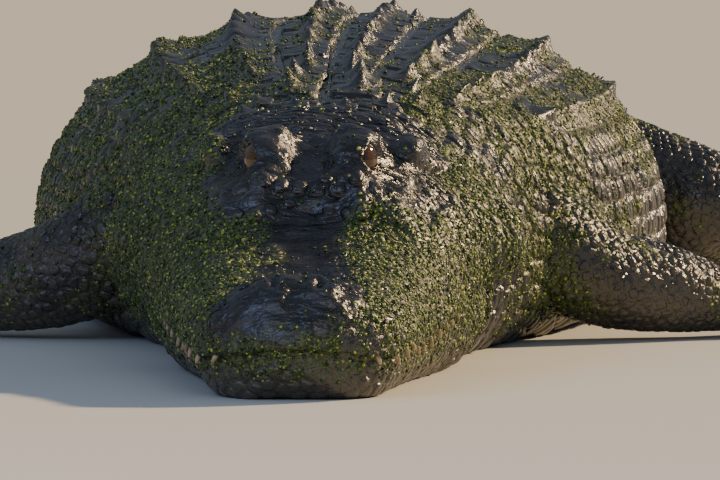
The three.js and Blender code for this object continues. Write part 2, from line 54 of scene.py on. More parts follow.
# The snout's tip and the midline of the head place everything below.
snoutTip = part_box("head")[0].y
midline = sum(corner.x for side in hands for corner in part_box("eye_" + side)) / 4
origin = np.array([midline, snoutTip, 0.0])
print("frame: snout at", round(snoutTip, 4), "midline at", round(midline, 4))

trunk = {
    # station, half width, height of the back, height of the widest line
    "rows": np.array([
        [0.470, 0.152, 0.208, 0.104], [0.560, 0.152, 0.219, 0.100], [0.660, 0.164, 0.229, 0.098],
        [0.760, 0.194, 0.240, 0.096], [0.900, 0.236, 0.253, 0.088], [1.080, 0.272, 0.263, 0.082],
        [1.250, 0.286, 0.267, 0.080], [1.450, 0.278, 0.263, 0.080], [1.620, 0.242, 0.250, 0.082],
        [1.760, 0.196, 0.232, 0.086], [1.900, 0.156, 0.212, 0.086], [2.100, 0.122, 0.188, 0.080],
        [2.400, 0.090, 0.156, 0.068], [2.700, 0.062, 0.124, 0.056], [3.000, 0.040, 0.092, 0.043],
        [3.300, 0.021, 0.056, 0.027], [3.490, 0.007, 0.024, 0.012],
    ]),
    "backSquareness": 2.15, "bellySquareness": 2.6, "bellySink": 0.3,
    "length": 3.5, "neckStart": 0.48, "neckEnd": 0.70, "torsoEnd": 1.84,
    "bendStart": 1.35, "bendAngle": math.radians(11), "bendGrowth": 1.2, "bendWaves": 0.92,
}
head = {
    "rows": np.array([
        [0.000, 0.066, 0.070, 0.044], [0.030, 0.076, 0.080, 0.046], [0.080, 0.089, 0.088, 0.050],
        [0.150, 0.097, 0.099, 0.054], [0.220, 0.108, 0.118, 0.060], [0.265, 0.117, 0.140, 0.066],
        [0.310, 0.127, 0.160, 0.074], [0.360, 0.139, 0.178, 0.088], [0.420, 0.149, 0.192, 0.098],
        [0.500, 0.152, 0.203, 0.104],
    ]),
    "squareness": 2.5, "snoutRounding": 0.062, "snoutDrop": 0.034, "tipHeight": 0.044, "lipStep": 0.006,
    # the line of the mouth: station, height
    "mouth": np.array([
        [-0.040, 0.038], [0.000, 0.038], [0.045, 0.031], [0.095, 0.040], [0.150, 0.033], [0.230, 0.044],
        [0.320, 0.053], [0.380, 0.066], [0.430, 0.079], [0.520, 0.084],
    ]),
    # soft swellings: side, station, reach sideways, reach along, rise, sharpness of the edge
    "swellings": [
        [0, 0.040, 0.050, 0.033, 0.012, 3.4],  # the pad that carries the nostrils
        [0.017, 0.038, 0.013, 0.017, 0.006, 2.4],  # the rim round each nostril
        [0, 0.022, 0.012, 0.014, -0.005, 2],  # the notch between them
        [0, 0.165, 0.020, 0.070, -0.004, 2],  # the shallow trough along the snout
        [0.062, 0.165, 0.026, 0.060, 0.005, 2],  # the swelling over the tooth roots
        [0.050, 0.268, 0.036, 0.016, 0.017, 2.6],  # the ridge in front of the eyes
        [0, 0.272, 0.036, 0.014, 0.013, 2.4],
        [0, 0.318, 0.020, 0.040, 0.015, 2.6],  # the floor between the eyes
        [0.0385, 0.318, 0.0225, 0.033, 0.038, 4.4],  # the upper lid, a dome over each eye
        [0, 0.352, 0.060, 0.016, 0.012, 2.2],  # the step up to the roof of the skull
        [0, 0.412, 0.088, 0.052, 0.022, 6],  # the flat roof of the skull
        [0.041, 0.262, 0.010, 0.020, 0.013, 2],  # the boss in front of each eye
        [0.072, 0.316, 0.018, 0.044, 0.010, 2],  # the lower lid's pouch
    ],
    # swellings of the sides: station, height, reach along, reach in height, how far out, sharpness
    "cheeks": [
        [0.418, 0.112, 0.054, 0.030, 0.013, 2.2],  # the jaw muscle
        [0.424, 0.074, 0.050, 0.010, -0.009, 2],  # the shadow line under it
        [0.092, 0.052, 0.022, 0.014, 0.004, 2],  # the swelling round the large front teeth
        [0.232, 0.050, 0.040, 0.014, 0.004, 2],  # the festoon of the upper lip
    ],
}

# The ear flaps, smooth ovals behind the eyes: side, station, height, and their reach in each direction.
earFlap = {"middle": [0.080, 0.384, 0.182], "reach": [0.0150, 0.032, 0.0165], "slitHeight": 0.168}
# Knobs of the head, each a raised scale: how far out, station, width, height.
knobs = [
    # across the head in front of the eyes
    [0.0080, 0.268, 0.0200, 0.0028], [0.0235, 0.265, 0.0185, 0.0038], [0.0390, 0.262, 0.0210, 0.0043],
    [0.0545, 0.268, 0.0180, 0.0030], [0.0670, 0.280, 0.0150, 0.0026], [0.0160, 0.279, 0.0130, 0.0024],
    [0.0310, 0.277, 0.0130, 0.0030], [0.0150, 0.257, 0.0120, 0.0016], [0.0300, 0.252, 0.0120, 0.0020],
    # the boss in front of each eye
    [0.0455, 0.246, 0.0190, 0.0062], [0.0560, 0.252, 0.0130, 0.0026],
    # behind the nostrils
    [0.0120, 0.066, 0.0110, 0.0018], [0.0320, 0.060, 0.0130, 0.0022], [0.0460, 0.048, 0.0120, 0.0020],
]


def keyed(rows, s):
    # smooth curve through rows of station, value, value ...
    s = np.atleast_1d(s).astype(float)
    i = np.clip(np.searchsorted(rows[:, 0], s) - 1, 0, len(rows) - 2)
    a, b = rows[i], rows[i + 1]
    before, after = rows[np.maximum(i - 1, 0)], rows[np.minimum(i + 2, len(rows) - 1)]
    span = (b - a)[:, :1]
    t = np.clip((s[:, None] - a[:, :1]) / span, 0, 1)
    va, vb = a[:, 1:], b[:, 1:]
    ma = (vb - before[:, 1:]) / (b - before)[:, :1] * span
    mb = (after[:, 1:] - va) / (after - a)[:, :1] * span
    return hermite(va, vb, ma, mb, t)


def hermite(va, vb, ma, mb, t):
    t2, t3 = t * t, t * t * t
    return (2 * t3 - 3 * t2 + 1) * va + (t3 - 2 * t2 + t) * ma + (3 * t2 - 2 * t3) * vb + (t3 - t2) * mb


def throughPoints(rows, t):
    # evenly keyed smooth curve through rows, for t from 0 to 1
    rows = np.asarray(rows, float)
    padded = np.vstack([2 * rows[0] - rows[1], rows, 2 * rows[-1] - rows[-2]])
    at = np.clip(t, 0, 1) * (len(rows) - 1)
    i = np.minimum(at.astype(int), len(rows) - 2)
    p0, p1, p2, p3 = (padded[i + k] for k in range(4))
    return hermite(p1, p2, (p2 - p0) / 2, (p3 - p1) / 2, (at - i)[:, None])


def smoothStep(x, low, high):
    t = np.clip((x - low) / (high - low), 0, 1)
    return t * t * (3 - 2 * t)


def noise(points, size, seed=0):
    # smooth noise from -1 to 1, with cells of the given size
    q = points / size + 31.7 * seed + 500
    i = np.floor(q).astype(np.int64)
    f = q - i
    f = f * f * (3 - 2 * f)
    total = 0
    for dx in (0, 1):
        for dy in (0, 1):
            for dz in (0, 1):
                n = (i[:, 0] + dx) * 73856093 ^ (i[:, 1] + dy) * 19349663 ^ (i[:, 2] + dz) * 83492791
                n = ((n ^ (n >> 13)) * 1274126177) & 0x7FFFFFFF
                weight = np.ones(len(q))
                for axis, d in enumerate((dx, dy, dz)):
                    weight = weight * (f[:, axis] if d else 1 - f[:, axis])
                total = total + weight * (n / 0x3FFFFFFF - 1)
    return total


# The spine's course over the floor.
spineStep = 0.005
spineAt = np.arange(0, trunk["length"] + 2 * spineStep, spineStep)
bend = np.maximum(0, (spineAt - trunk["bendStart"]) / (trunk["length"] - trunk["bendStart"]))
swing = np.sin(2 * math.pi * trunk["bendWaves"] * bend)
spineTurn = trunk["bendAngle"] * (1 + trunk["bendGrowth"] * bend) * swing
spineX = np.concatenate([[0], np.cumsum(spineStep * np.sin(spineTurn[1:]))])
spineY = np.concatenate([[0], np.cumsum(spineStep * np.cos(spineTurn[1:]))])


def beside(s, side, z):
    turn = np.interp(s, spineAt, spineTurn)
    x = np.interp(s, spineAt, spineX) + side * np.cos(turn)
    y = np.interp(s, spineAt, spineY) - side * np.sin(turn)
    return np.stack([x, y, z], axis=1) + origin


def outline(section, squareness, turn, lift=0.0):
    # side and height of a section's outline: turn 0 is the top, half a turn is the bottom
    sin, cos = np.sin(turn), np.cos(turn)
    halfWidth, top, girth = section[:, 0], section[:, 1], section[:, 2]
    power = 2 / np.where(cos >= 0, squareness, trunk["bellySquareness"])
    reach = np.where(cos >= 0, top - girth, girth * (1 + trunk["bellySink"])) + lift
    side = np.sign(sin) * (halfWidth + lift) * np.abs(sin) ** power
    return side, np.maximum(0, girth + np.sign(cos) * reach * np.abs(cos) ** power)


def trunkPoints(s, turn, lift=0.0):
    section = keyed(trunk["rows"], s)
    side, z = outline(section, trunk["backSquareness"], turn)
    sideOut, zOut = outline(section, trunk["backSquareness"], turn, mm)
    steep = np.maximum(np.hypot(sideOut - side, zOut - z), 1e-9)
    share = lift / steep
    return beside(s, side + (sideOut - side) * share, z + (zOut - z) * share)


def mound(across, along, sharpness):
    return np.exp(-(np.abs(across) ** sharpness + np.abs(along) ** sharpness))


def headPoints(s, turn, drawIn=0.0, setBack=0.0):
    section = keyed(head["rows"], s)
    past = s - setBack
    plan = np.sqrt(np.clip(1 - (1 - np.minimum(1, past / head["snoutRounding"])) ** 2, 0, None))
    drop = np.clip(1 - (1 - np.minimum(1, past / head["snoutDrop"])) ** 2, 0, None) ** 0.4
    section[:, 0] -= drawIn
    side, z = outline(section, head["squareness"], turn)
    x = side * plan
    z = head["tipHeight"] + (z - head["tipHeight"]) * drop
    facingUp = smoothStep(np.cos(turn), 0.04, 0.4)
    hand, width = np.sign(x), np.abs(x)
    for across, along, wide, long, rise, sharpness in head["swellings"]:
        z = z + facingUp * drop * rise * mound((width - across) / wide, (s - along) / long, sharpness)
    for along, height, long, high, out, sharpness in head["cheeks"]:
        x = x + hand * (1 - facingUp) * out * mound((s - along) / long, (z - height) / high, sharpness)
    return np.stack([x, s, z], axis=1) + origin


def loft(bm, place, along, around):
    # a closed shape from a grid, whose one direction runs along it and the other round it
    verts = bmesh.ops.create_grid(bm, x_segments=along, y_segments=around, size=0.5)["verts"]
    at = np.array([vert.co for vert in verts])
    points = place(at[:, 0] + 0.5, (at[:, 1] + 0.5) * 2 * math.pi)
    for vert, point in zip(verts, points):
        vert.co = point
    bmesh.ops.remove_doubles(bm, verts=verts, dist=1e-6)


def limbPlace(rows, endShare=0.14):
    # rows of x, y, z, half width, half height; both ends are rounded off
    rows = np.asarray(rows, float)
    course, nearby = rows[:, :3], 0.004

    def place(u, around):
        t = np.clip((u - endShare) / (1 - 2 * endShare), 0, 1)
        at = throughPoints(rows, t)
        ahead = throughPoints(course, np.minimum(t + nearby, 1))
        ahead -= throughPoints(course, np.maximum(t - nearby, 0))
        ahead /= np.linalg.norm(ahead, axis=1)[:, None]
        across = np.stack([ahead[:, 1], -ahead[:, 0], 0 * t], axis=1)
        across /= np.linalg.norm(across, axis=1)[:, None]
        up = np.cross(across, ahead)
        past = np.where(u < endShare, u / endShare - 1, np.maximum(0, (u - 1 + endShare) / endShare))
        close = past * math.pi / 2
        wide, high = at[:, 3], at[:, 4]
        points = at[:, :3] + ahead * (np.sin(close) * np.minimum(wide, high))[:, None]
        points += across * (np.cos(close) * wide * np.cos(around))[:, None]
        points += up * (np.cos(close) * high * np.sin(around))[:, None]
        points[:, 2] = np.maximum(points[:, 2], 0)
        return points + origin

    return place


legs = {
    # rows of side, station or step along, height, half width, half height
    "fore": [
        [0.112, 0.772, 0.120, 0.060, 0.064], [0.182, 0.792, 0.088, 0.050, 0.052],
        [0.236, 0.812, 0.058, 0.044, 0.045], [0.294, 0.838, 0.045, 0.041, 0.039],
        [0.354, 0.866, 0.030, 0.028, 0.025], [0.392, 0.884, 0.017, 0.038, 0.017],
    ],
    "hind": [
        [0.092, 0.008, 0.120, 0.074, 0.080], [0.188, -0.022, 0.101, 0.066, 0.066],
        [0.280, -0.040, 0.080, 0.055, 0.055], [0.298, 0.036, 0.057, 0.045, 0.045],
        [0.290, 0.104, 0.035, 0.034, 0.031], [0.324, 0.146, 0.020, 0.037, 0.020],
    ],
    "hipStation": 1.765, "rightReach": 0.86,
    # turn in degrees, length, whether it bears a claw
    "foreToes": [
        [-54, 0.058, True], [-26, 0.074, True], [0, 0.080, True], [27, 0.072, False], [54, 0.054, False],
    ],
    "hindToes": [[-36, 0.092, True], [-12, 0.116, True], [12, 0.120, True], [36, 0.096, False]],
    "foreToeThick": 0.012, "hindToeThick": 0.013,
    # along a toe: share of its length, thickness and height against its own thickness
    "toeShape": [[0.15, 1.15, 1.1], [0.45, 1, 1.25], [0.75, 0.9, 1], [1, 0.62, 0.8]],
    # the web between two toes of the foot: height, share of the gap between them, half thickness
    "web": [[0.007, 1, 0.004], [0.006, 1, 0.0026], [0.005, 0.8, 0.002]],
    # claw: how far past the toe's tip, height, half thickness
    "claw": [
        [-0.003, 0.0065, 0.006], [0.008, 0.006, 0.0042], [0.018, 0.004, 0.0026], [0.025, 0.0016, 0.0011],
    ],
}


def legRows(which, hand):
    if which == "fore":
        return np.array([[hand * side, y, z, wide, high] for side, y, z, wide, high in legs["fore"]])
    reach = 1 if hand > 0 else legs["rightReach"]
    rows = np.array(legs["hind"])
    at = beside(legs["hipStation"] + rows[:, 1], hand * rows[:, 0] * reach, rows[:, 2]) - origin
    return np.hstack([at, rows[:, 3:]])


def legParts(which, hand):
    # a hind leg is two limbs that meet at the knee
    rows = legRows(which, hand)
    return [rows[:3], rows[2:]] if which == "hind" else [rows]


def toeLines(which, hand):
    leg = legRows(which, hand)
    root, before = leg[-1], leg[-2]
    heading = 0 if which == "hind" else math.atan2(root[1] - before[1], hand * (root[0] - before[0]))
    lines = []
    for turn, length, clawed in legs[which + "Toes"]:
        angle = heading + math.radians(turn)
        step = np.array([hand * math.cos(angle), math.sin(angle)])
        line = []
        for share, fat, rise in legs["toeShape"]:
            thick = legs[which + "ToeThick"] * fat
            at = root[:2] + step * (root[3] * 0.35 + length * share)
            line.append([at[0], at[1], thick * rise, thick, thick])
        lines.append((np.array(line), clawed))
    return lines


def webLines(lines):
    webs = []
    for (a, _), (b, _) in zip(lines, lines[1:]):
        rows = []
        for k, (z, share, thick) in enumerate(legs["web"]):
            middle = (a[k, :2] + b[k, :2]) / 2
            rows.append([middle[0], middle[1], z, np.hypot(*(a[k, :2] - b[k, :2])) / 2 * share, thick])
        webs.append(np.array(rows))
    return webs


skinSettings = {
    "voxel": 3.4 * mm, "triangles": 190000, "smoothing": 6,
    # how finely each form is drawn before the voxels join them: along it, round it
    "trunk": (560, 110), "upperHead": (230, 200), "jaw": (160, 120), "limb": (60, 36), "toe": (30, 18),
    "web": (20, 24), "jawSetBack": 0.007, "jawPastMouth": 0.004, "headBack": 0.5,
}


def addToScene(name, data):
    thing = bpy.data.objects.new(name, data)
    bpy.context.scene.collection.objects.link(thing)
    return thing


def makeBodyShell():
    # every fleshy form as overlapping closed shapes
    bm = bmesh.new()

    def trunkPlace(u, around):
        first, last = trunk["neckStart"] - 0.01, trunk["length"] - 0.004
        s = first + (last - first) * np.clip((u - 0.01) / 0.98, 0, 1)
        closed = np.where((u < 0.005) | (u > 0.995), 0, 1)
        section = keyed(trunk["rows"], s)
        middle = beside(s, 0 * s, section[:, 2])
        return middle + (trunkPoints(s, around) - middle) * closed[:, None]

    def headPlace(drawIn, setBack, upper):
        def place(u, around):
            s = setBack + (skinSettings["headBack"] - setBack) * np.clip(u / 0.995, 0, 1) ** 1.4
            points = headPoints(s, around, drawIn, setBack)
            mouth = keyed(head["mouth"], s)[:, 0]
            if upper:
                points[:, 2] = np.maximum(points[:, 2], mouth)
            else:
                points[:, 2] = np.minimum(points[:, 2], mouth + skinSettings["jawPastMouth"])
            closed = np.where(u > 0.999, 0, 1)[:, None]
            middle = np.stack([0 * s, s, keyed(head["rows"], s)[:, 2]], axis=1) + origin
            return middle + (points - middle) * closed
        return place

    loft(bm, trunkPlace, *skinSettings["trunk"])
    loft(bm, headPlace(0.0, 0.0, True), *skinSettings["upperHead"])
    loft(bm, headPlace(head["lipStep"], skinSettings["jawSetBack"], False), *skinSettings["jaw"])
    for hand in hands.values():
        for which in ("fore", "hind"):
            for part in legParts(which, hand):
                loft(bm, limbPlace(part), *skinSettings["limb"])
            lines = toeLines(which, hand)
            for line, _ in lines:
                loft(bm, limbPlace(line), *skinSettings["toe"])
            if which == "hind":
                for web in webLines(lines):
                    loft(bm, limbPlace(web, 0.08), *skinSettings["web"])
        flap = Matrix.Translation(origin + np.array(earFlap["middle"]) * [hand, 1, 1])
        flap = flap @ Matrix.Diagonal(Vector(earFlap["reach"])).to_4x4()
        bmesh.ops.create_uvsphere(bm, u_segments=32, v_segments=20, radius=1, matrix=flap)
    bmesh.ops.recalc_face_normals(bm, faces=bm.faces)
    mesh = bpy.data.meshes.new("skin")
    bm.to_mesh(mesh)
    bm.free()
    return addToScene("skin", mesh)


def applyModifier(piece, kind, **settings):
    modifier = piece.modifiers.new(kind.lower(), kind)
    for name, value in settings.items():
        setattr(modifier, name, value)
    applied = bpy.data.meshes.new_from_object(piece.evaluated_get(bpy.context.evaluated_depsgraph_get()))
    piece.modifiers.clear()
    piece.data = applied


def coordinates(mesh, kind="co"):
    values = np.empty(len(mesh.vertices) * 3)
    mesh.vertices.foreach_get(kind, values)
    return values.reshape(-1, 3)


def cornersOf(mesh):
    # the numbers of the three corners of each triangle
    mesh.calc_loop_triangles()
    corners = np.empty(len(mesh.loop_triangles) * 3, np.int32)
    mesh.loop_triangles.foreach_get("vertices", corners)
    return corners.reshape(-1, 3)


skin = makeBodyShell()
print("skin: shapes joined", len(skin.data.vertices))
applyModifier(skin, "REMESH", mode="VOXEL", voxel_size=skinSettings["voxel"], adaptivity=0)
print("skin: remeshed", len(skin.data.polygons))
applyModifier(skin, "SMOOTH", factor=0.5, iterations=skinSettings["smoothing"])
fineGroup = skin.vertex_groups.new(name="fine")
at = coordinates(skin.data) - origin
# the head is thinned least, and then the hands and feet
detail = np.maximum(1 - smoothStep(at[:, 1], 0.46, 0.56), 0.5 * smoothStep(np.abs(at[:, 0]), 0.30, 0.36))
for level in range(11):
    chosen = np.nonzero(np.round(detail * 10).astype(int) == level)[0]
    fineGroup.add(chosen.tolist(), level / 10, "REPLACE")
ratio = skinSettings["triangles"] / (2 * len(skin.data.polygons))
applyModifier(
    skin, "DECIMATE", ratio=ratio, vertex_group="fine", invert_vertex_group=True, vertex_group_factor=2.0,
)
print("skin: thinned to", len(skin.data.vertices), "vertices")

eyes = {
    "side": 0.0375, "station": 0.317, "height": 0.1795, "radius": 0.0180,
    # the way each opening faces: outwards, ahead, up, and its half angles across and in height
    "faces": np.array([0.93, -0.34, 0.10]), "halfAcross": math.radians(54), "halfHigh": math.radians(46),
    "almond": 1.7, "lidThick": 0.0022,
    # how far round the ball the skin is moved, and how far it sinks behind the ball's bare part
    "around": 0.045, "sunk": 0.002,
    "iris": ("2a1a0a", "6f4c22"), "irisEdge": "120a05", "pupil": "030302",
    # width of the iris's rays in millimetres
    "ray": 1.2857,
}


def eyeCentre(hand):
    return origin + np.array([hand * eyes["side"], eyes["station"], eyes["height"]])


def eyeAxes(hand):
    out = eyes["faces"] * [hand, 1, 1]
    out = out / np.linalg.norm(out)
    across = np.cross([0, 0, 1], out)
    across /= np.linalg.norm(across)
    return out, across, np.cross(out, across)


def almond(points, hand):
    # below 1 inside the opening between the lids
    out, across, up = eyeAxes(hand)
    way = points - eyeCentre(hand)
    way = way / np.linalg.norm(way, axis=1)[:, None]
    ahead = way @ out
    wide = np.arctan2(way @ across, ahead)
    high = np.arctan2(way @ up, ahead)
    power = eyes["almond"]
    apart = np.abs(wide / eyes["halfAcross"]) ** power + np.abs(high / eyes["halfHigh"]) ** power
    return np.where(ahead > 0, apart, 9)


relief = {
    "mouthDeep": 0.004, "mouthHalfHigh": 0.0026, "foldSize": 0.05, "foldHigh": 0.004,
    # the jaw muscle and the folds behind and under it: station, height, reach along, reach in height,
    # sharpness of the edge, rise
    "jowl": [
        [0.428, 0.112, 0.044, 0.036, 2.4, 0.016],
        [0.520, 0.095, 0.032, 0.080, 2, -0.021],
        [0.425, 0.066, 0.050, 0.010, 2, -0.006],
    ],
    # creases of the bare top of the head, across it, every way and on the nose pad: size, height
    "across": (0.0065, 0.0013), "everyWay": (0.010, 0.0016), "nosePad": (0.010, 0.0026),
    # the ear's slit: half height, station, half length, depth
    "earSlit": (0.0028, 0.386, 0.030, 0.007),
    # each nostril: side, station, half width, half length, depth
    "nostril": (0.018, 0.034, 0.0045, 0.009, 0.010),
    "lowest": 0.0002,
}


def shapeSkin():
    mesh = skin.data
    points, normals = coordinates(mesh), coordinates(mesh, "normal")
    at = points - origin
    s, side, z = at[:, 1], np.abs(at[:, 0]), at[:, 2]
    inHead = 1 - smoothStep(s, 0.46, 0.50)
    # the groove of the mouth
    mouth = keyed(head["mouth"], np.clip(s, -0.02, 0.5))[:, 0]
    groove = np.exp(-((z - mouth) / relief["mouthHalfHigh"]) ** 2)
    lift = -relief["mouthDeep"] * groove * inHead * (1 - smoothStep(s, 0.42, 0.45))
    # folds of the neck and jowl
    fold = noise(at * [1, 0.35, 1], relief["foldSize"], 3) * smoothStep(s, 0.40, 0.5)
    fold = fold * (1 - smoothStep(s, 0.85, 1.1)) * smoothStep(z, 0.01, 0.05)
    lift += relief["foldHigh"] * fold
    # the jaw muscle stands out, with a deep fold behind it
    flank = smoothStep(np.abs(normals[:, 0]), 0.3, 0.7)
    for along, height, long, high, sharpness, rise in relief["jowl"]:
        lift += flank * rise * mound((s - along) / long, (z - height) / high, sharpness)
    # creases of the bare top of the head and the pad of the nose
    top = np.minimum((smoothStep(normals[:, 2], 0.1, 0.5) + 0.4) * inHead, 1)
    size, high = relief["across"]
    lift += top * noise(at * [0.35, 1, 1], size, 21) * high
    size, high = relief["everyWay"]
    lift += top * noise(at, size, 22) * high
    size, high = relief["nosePad"]
    pad = (1 - smoothStep(s, 0.065, 0.085)) * smoothStep(z, 0.055, 0.07)
    lift += pad * np.abs(noise(at, size, 23)) * high
    # the slits of the ears and the nostrils
    high, station, long, deep = relief["earSlit"]
    slit = mound((s - station) / long, (z - earFlap["slitHeight"]) / high, 2)
    lift -= deep * slit * smoothStep(side, 0.055, 0.07)
    out, station, wide, long, deep = relief["nostril"]
    lift -= deep * mound((side - out) / wide, (s - station) / long, 2) * (normals[:, 2] > 0)
    points = points + normals * lift[:, None]
    # the opening between the lids, with the ball of the eye bare inside it
    for hand in hands.values():
        centre = eyeCentre(hand)
        way = points - centre
        far = np.linalg.norm(way, axis=1)
        outside = np.maximum(far, eyes["radius"] + eyes["lidThick"])
        target = np.where(almond(points, hand) < 1, eyes["radius"] - eyes["sunk"], outside)
        moved = centre + way / far[:, None] * target[:, None]
        points = np.where((far < eyes["around"])[:, None], moved, points)
    points[:, 2] = np.maximum(points[:, 2], relief["lowest"])
    mesh.vertices.foreach_set("co", points.ravel())
    mesh.update()


shapeSkin()
skin.data.shade_smooth()
print("skin: shaped")


def mapped(at):
    # body coordinates as station along the spine, side and height
    s = at[:, 1].copy()
    for _ in range(4):
        turn = np.interp(s, spineAt, spineTurn)
        dx, dy = at[:, 0] - np.interp(s, spineAt, spineX), at[:, 1] - np.interp(s, spineAt, spineY)
        s = np.where(at[:, 1] < 0.4, at[:, 1], s + dx * np.sin(turn) + dy * np.cos(turn))
    turn = np.interp(s, spineAt, spineTurn)
    dx, dy = at[:, 0] - np.interp(s, spineAt, spineX), at[:, 1] - np.interp(s, spineAt, spineY)
    return s, dx * np.cos(turn) - dy * np.sin(turn), at[:, 2]


algaeGrowth = {
    # the bare strip along the middle: station, half width
    "bare": np.array([
        [-0.02, 0.062], [0.05, 0.056], [0.075, 0.036], [0.13, 0.017], [0.19, 0.018], [0.24, 0.040],
        [0.27, 0.080], [0.31, 0.088], [0.36, 0.086], [0.45, 0.098], [0.50, 0.090], [0.60, 0.060],
        [0.75, 0.020], [0.90, 0.0],
    ]),
    # size of the patches and of the specks within them
    "patch": 0.055, "speckle": 0.016,
}


def bareHalfWidth(s):
    return keyed(algaeGrowth["bare"], np.clip(s, -0.02, 0.9))[:, 0]


def trunkHalfWidth(s):
    return keyed(trunk["rows"], np.clip(s, 0.47, 3.49))[:, 0]


def algaeAndFoldShade(at):
    # how thickly algae and duckweed cling, from 0 to 1; cleared in the fold behind the jaw as painted shade
    s, side, z = mapped(at)
    beyond = np.abs(side) - bareHalfWidth(s)
    beyond = np.where(s < 0.12, np.maximum(beyond, 0.060 - z), beyond)
    headBias = np.clip(beyond / 0.034 - 0.12, -0.70, 0.95)
    width = trunkHalfWidth(s)
    onSide = smoothStep(np.abs(side) / width, 0.25, 0.6)
    bodyBias = -0.22 + 0.5 * onSide
    # little grows low on the sunlit left flank, and a little more on the right one
    lowLeft = smoothStep(side / width, 0.4, 0.7) * (1 - smoothStep(z, 0.10, 0.15))
    bodyBias = bodyBias - 1.1 * lowLeft * smoothStep(s, 1.0, 1.15) + 0.2 * (side < 0)
    bodyBias = bodyBias - 0.6 * smoothStep(s, 1.5, 1.9)
    onLeg = smoothStep(np.abs(side) - width, 0.0, 0.05)
    bodyBias = bodyBias * (1 - onLeg) - 0.25 * onLeg
    share = smoothStep(s, 0.46, 0.60)
    bias = headBias * (1 - share) + bodyBias * share
    # painted shade: algae and duckweed are cleared from the fold behind the jaw, so the dark hide shows there
    # as the fold's shadow
    bias = bias - 1.0 * mound((s - 0.545) / 0.045, (z - 0.08) / 0.07, 2.5)
    patches = noise(at, algaeGrowth["patch"], 5) * 0.6 + noise(at, algaeGrowth["speckle"], 6) * 0.5
    under = smoothStep(z, 0.004, 0.04)
    return smoothStep(bias + patches, -0.15, 0.45) * under


def paleOn(at):
    # the brown-grey of the low flanks and the belly's edge
    s, side, z = mapped(at)
    width = trunkHalfWidth(s)
    low = (1 - smoothStep(z, 0.05, 0.17)) * smoothStep(s, 0.55, 0.8)
    under = (1 - smoothStep(z, 0.012, 0.05)) * (1 - smoothStep(s, 0.5, 0.7))
    spots = smoothStep(noise(at, 0.07, 8) * 0.5 + noise(at, 0.02, 9) * 0.5, -0.7, 0.6)
    return np.clip(low * spots * smoothStep(np.abs(side) / width, 0.4, 0.7) * 0.75 + under * 0.5, 0, 1)


def unwrapped(at):
    # a place on a flat map of the skin: the trunk round its spine above, the four legs in a strip below
    s, side, z = mapped(at)
    section = keyed(trunk["rows"], np.clip(s, 0.47, 3.49))
    roundTrunk = np.arctan2(side, z - section[:, 2]) / (2 * math.pi) + 0.5
    u, v = 0.01 + 0.97 * s / trunk["length"], 0.30 + 0.69 * roundTrunk
    onLeg = np.abs(side) > section[:, 0] + 0.012
    which = (side > 0) * 1 + (s > 1.3) * 2
    middle = np.where(s > 1.3, 1.80, 0.82)
    legU = 0.01 + 0.245 * which + 0.22 * np.clip((np.abs(side) - section[:, 0]) / 0.35, 0, 1)
    legV = 0.01 + 0.25 * (np.arctan2(z - 0.04, s - middle) / (2 * math.pi) + 0.5)
    return np.stack([np.where(onLeg, legU, u), np.where(onLeg, legV, v)], axis=1)


def setAttribute(mesh, name, values):
    attribute = mesh.attributes.new(name, "FLOAT", "POINT")
    attribute.data.foreach_set("value", np.asarray(values, np.float32))


skinPlaces = coordinates(skin.data) - origin
# the algae mark also carries the painted shade of the fold behind the jaw
setAttribute(skin.data, "algae", algaeAndFoldShade(skinPlaces))
setAttribute(skin.data, "pale", paleOn(skinPlaces))


def surfaceOf(*pieces):
    # a search tree over the faces of the pieces
    points, faces, count = [], [], 0
    for piece in pieces:
        points.append(coordinates(piece.data))
        faces.append(cornersOf(piece.data) + count)
        count += len(piece.data.vertices)
    return BVHTree.FromPolygons(np.vstack(points).tolist(), np.vstack(faces).tolist())


skinSurface = surfaceOf(skin)


def nearestOnSkin(points):
    spots, normals = zip(*(skinSurface.find_nearest(point)[:2] for point in points.tolist()))
    return np.array(spots), np.array(normals)


def neighboursOf(points, count):
    tree = KDTree(len(points))
    for index, point in enumerate(points.tolist()):
        tree.insert(point, index)
    tree.balance()
    found = [tree.find_n(point, count + 1)[1:] for point in points.tolist()]
    return np.array([[index for _, index, _ in near] for near in found])


scaling = {
    # sizes of scales by place; on the trunk the distance along it and the height of a row
    "snout": 0.0095, "jaw": 0.0115, "lid": 0.0052, "nose": 0.0065, "roof": 0.014, "jowl": 0.013,
    "neck": 0.0135, "flankPitch": 0.0185, "flankHigh": 0.021, "tailHigh": 0.021, "leg": 0.0125,
    "toe": 0.0065, "hand": 0.0085,
    # how many random places the head's scales start from, and how near each other they may stand
    "headTries": 42000, "headCrowding": 0.80, "crowding": 0.62, "gap": 0.0007,
    # height of a scale as a share of its size, and how much less that is on the head and the legs
    "high": 0.14, "lowerOnHead": 0.05, "lowerOnLeg": 0.055,
    # rings of a scale: share of its reach, share of its height; the outer one is sunk in the skin
    "rings": [(1.0, 0), (0.86, 0.62), (0.5, 1.0)],
    "directions": 12, "neighbours": 16, "sunk": 0.0007,
    "triangles": 190000,
}


def stretchAt(s):
    # how much shorter than wide the scales of the roof of the skull and the nape are
    return 1 + 1.5 * smoothStep(s, 0.335, 0.36) * (1 - smoothStep(s, 0.50, 0.56))


stretchRun = np.linspace(-0.1, 3.6, 7401)
stretchSum = np.concatenate([[0], np.cumsum(stretchAt(stretchRun[1:]) * np.diff(stretchRun))])


def stretched(points):
    at = points - origin
    return np.stack([at[:, 0], np.interp(at[:, 1], stretchRun, stretchSum), at[:, 2]], axis=1)


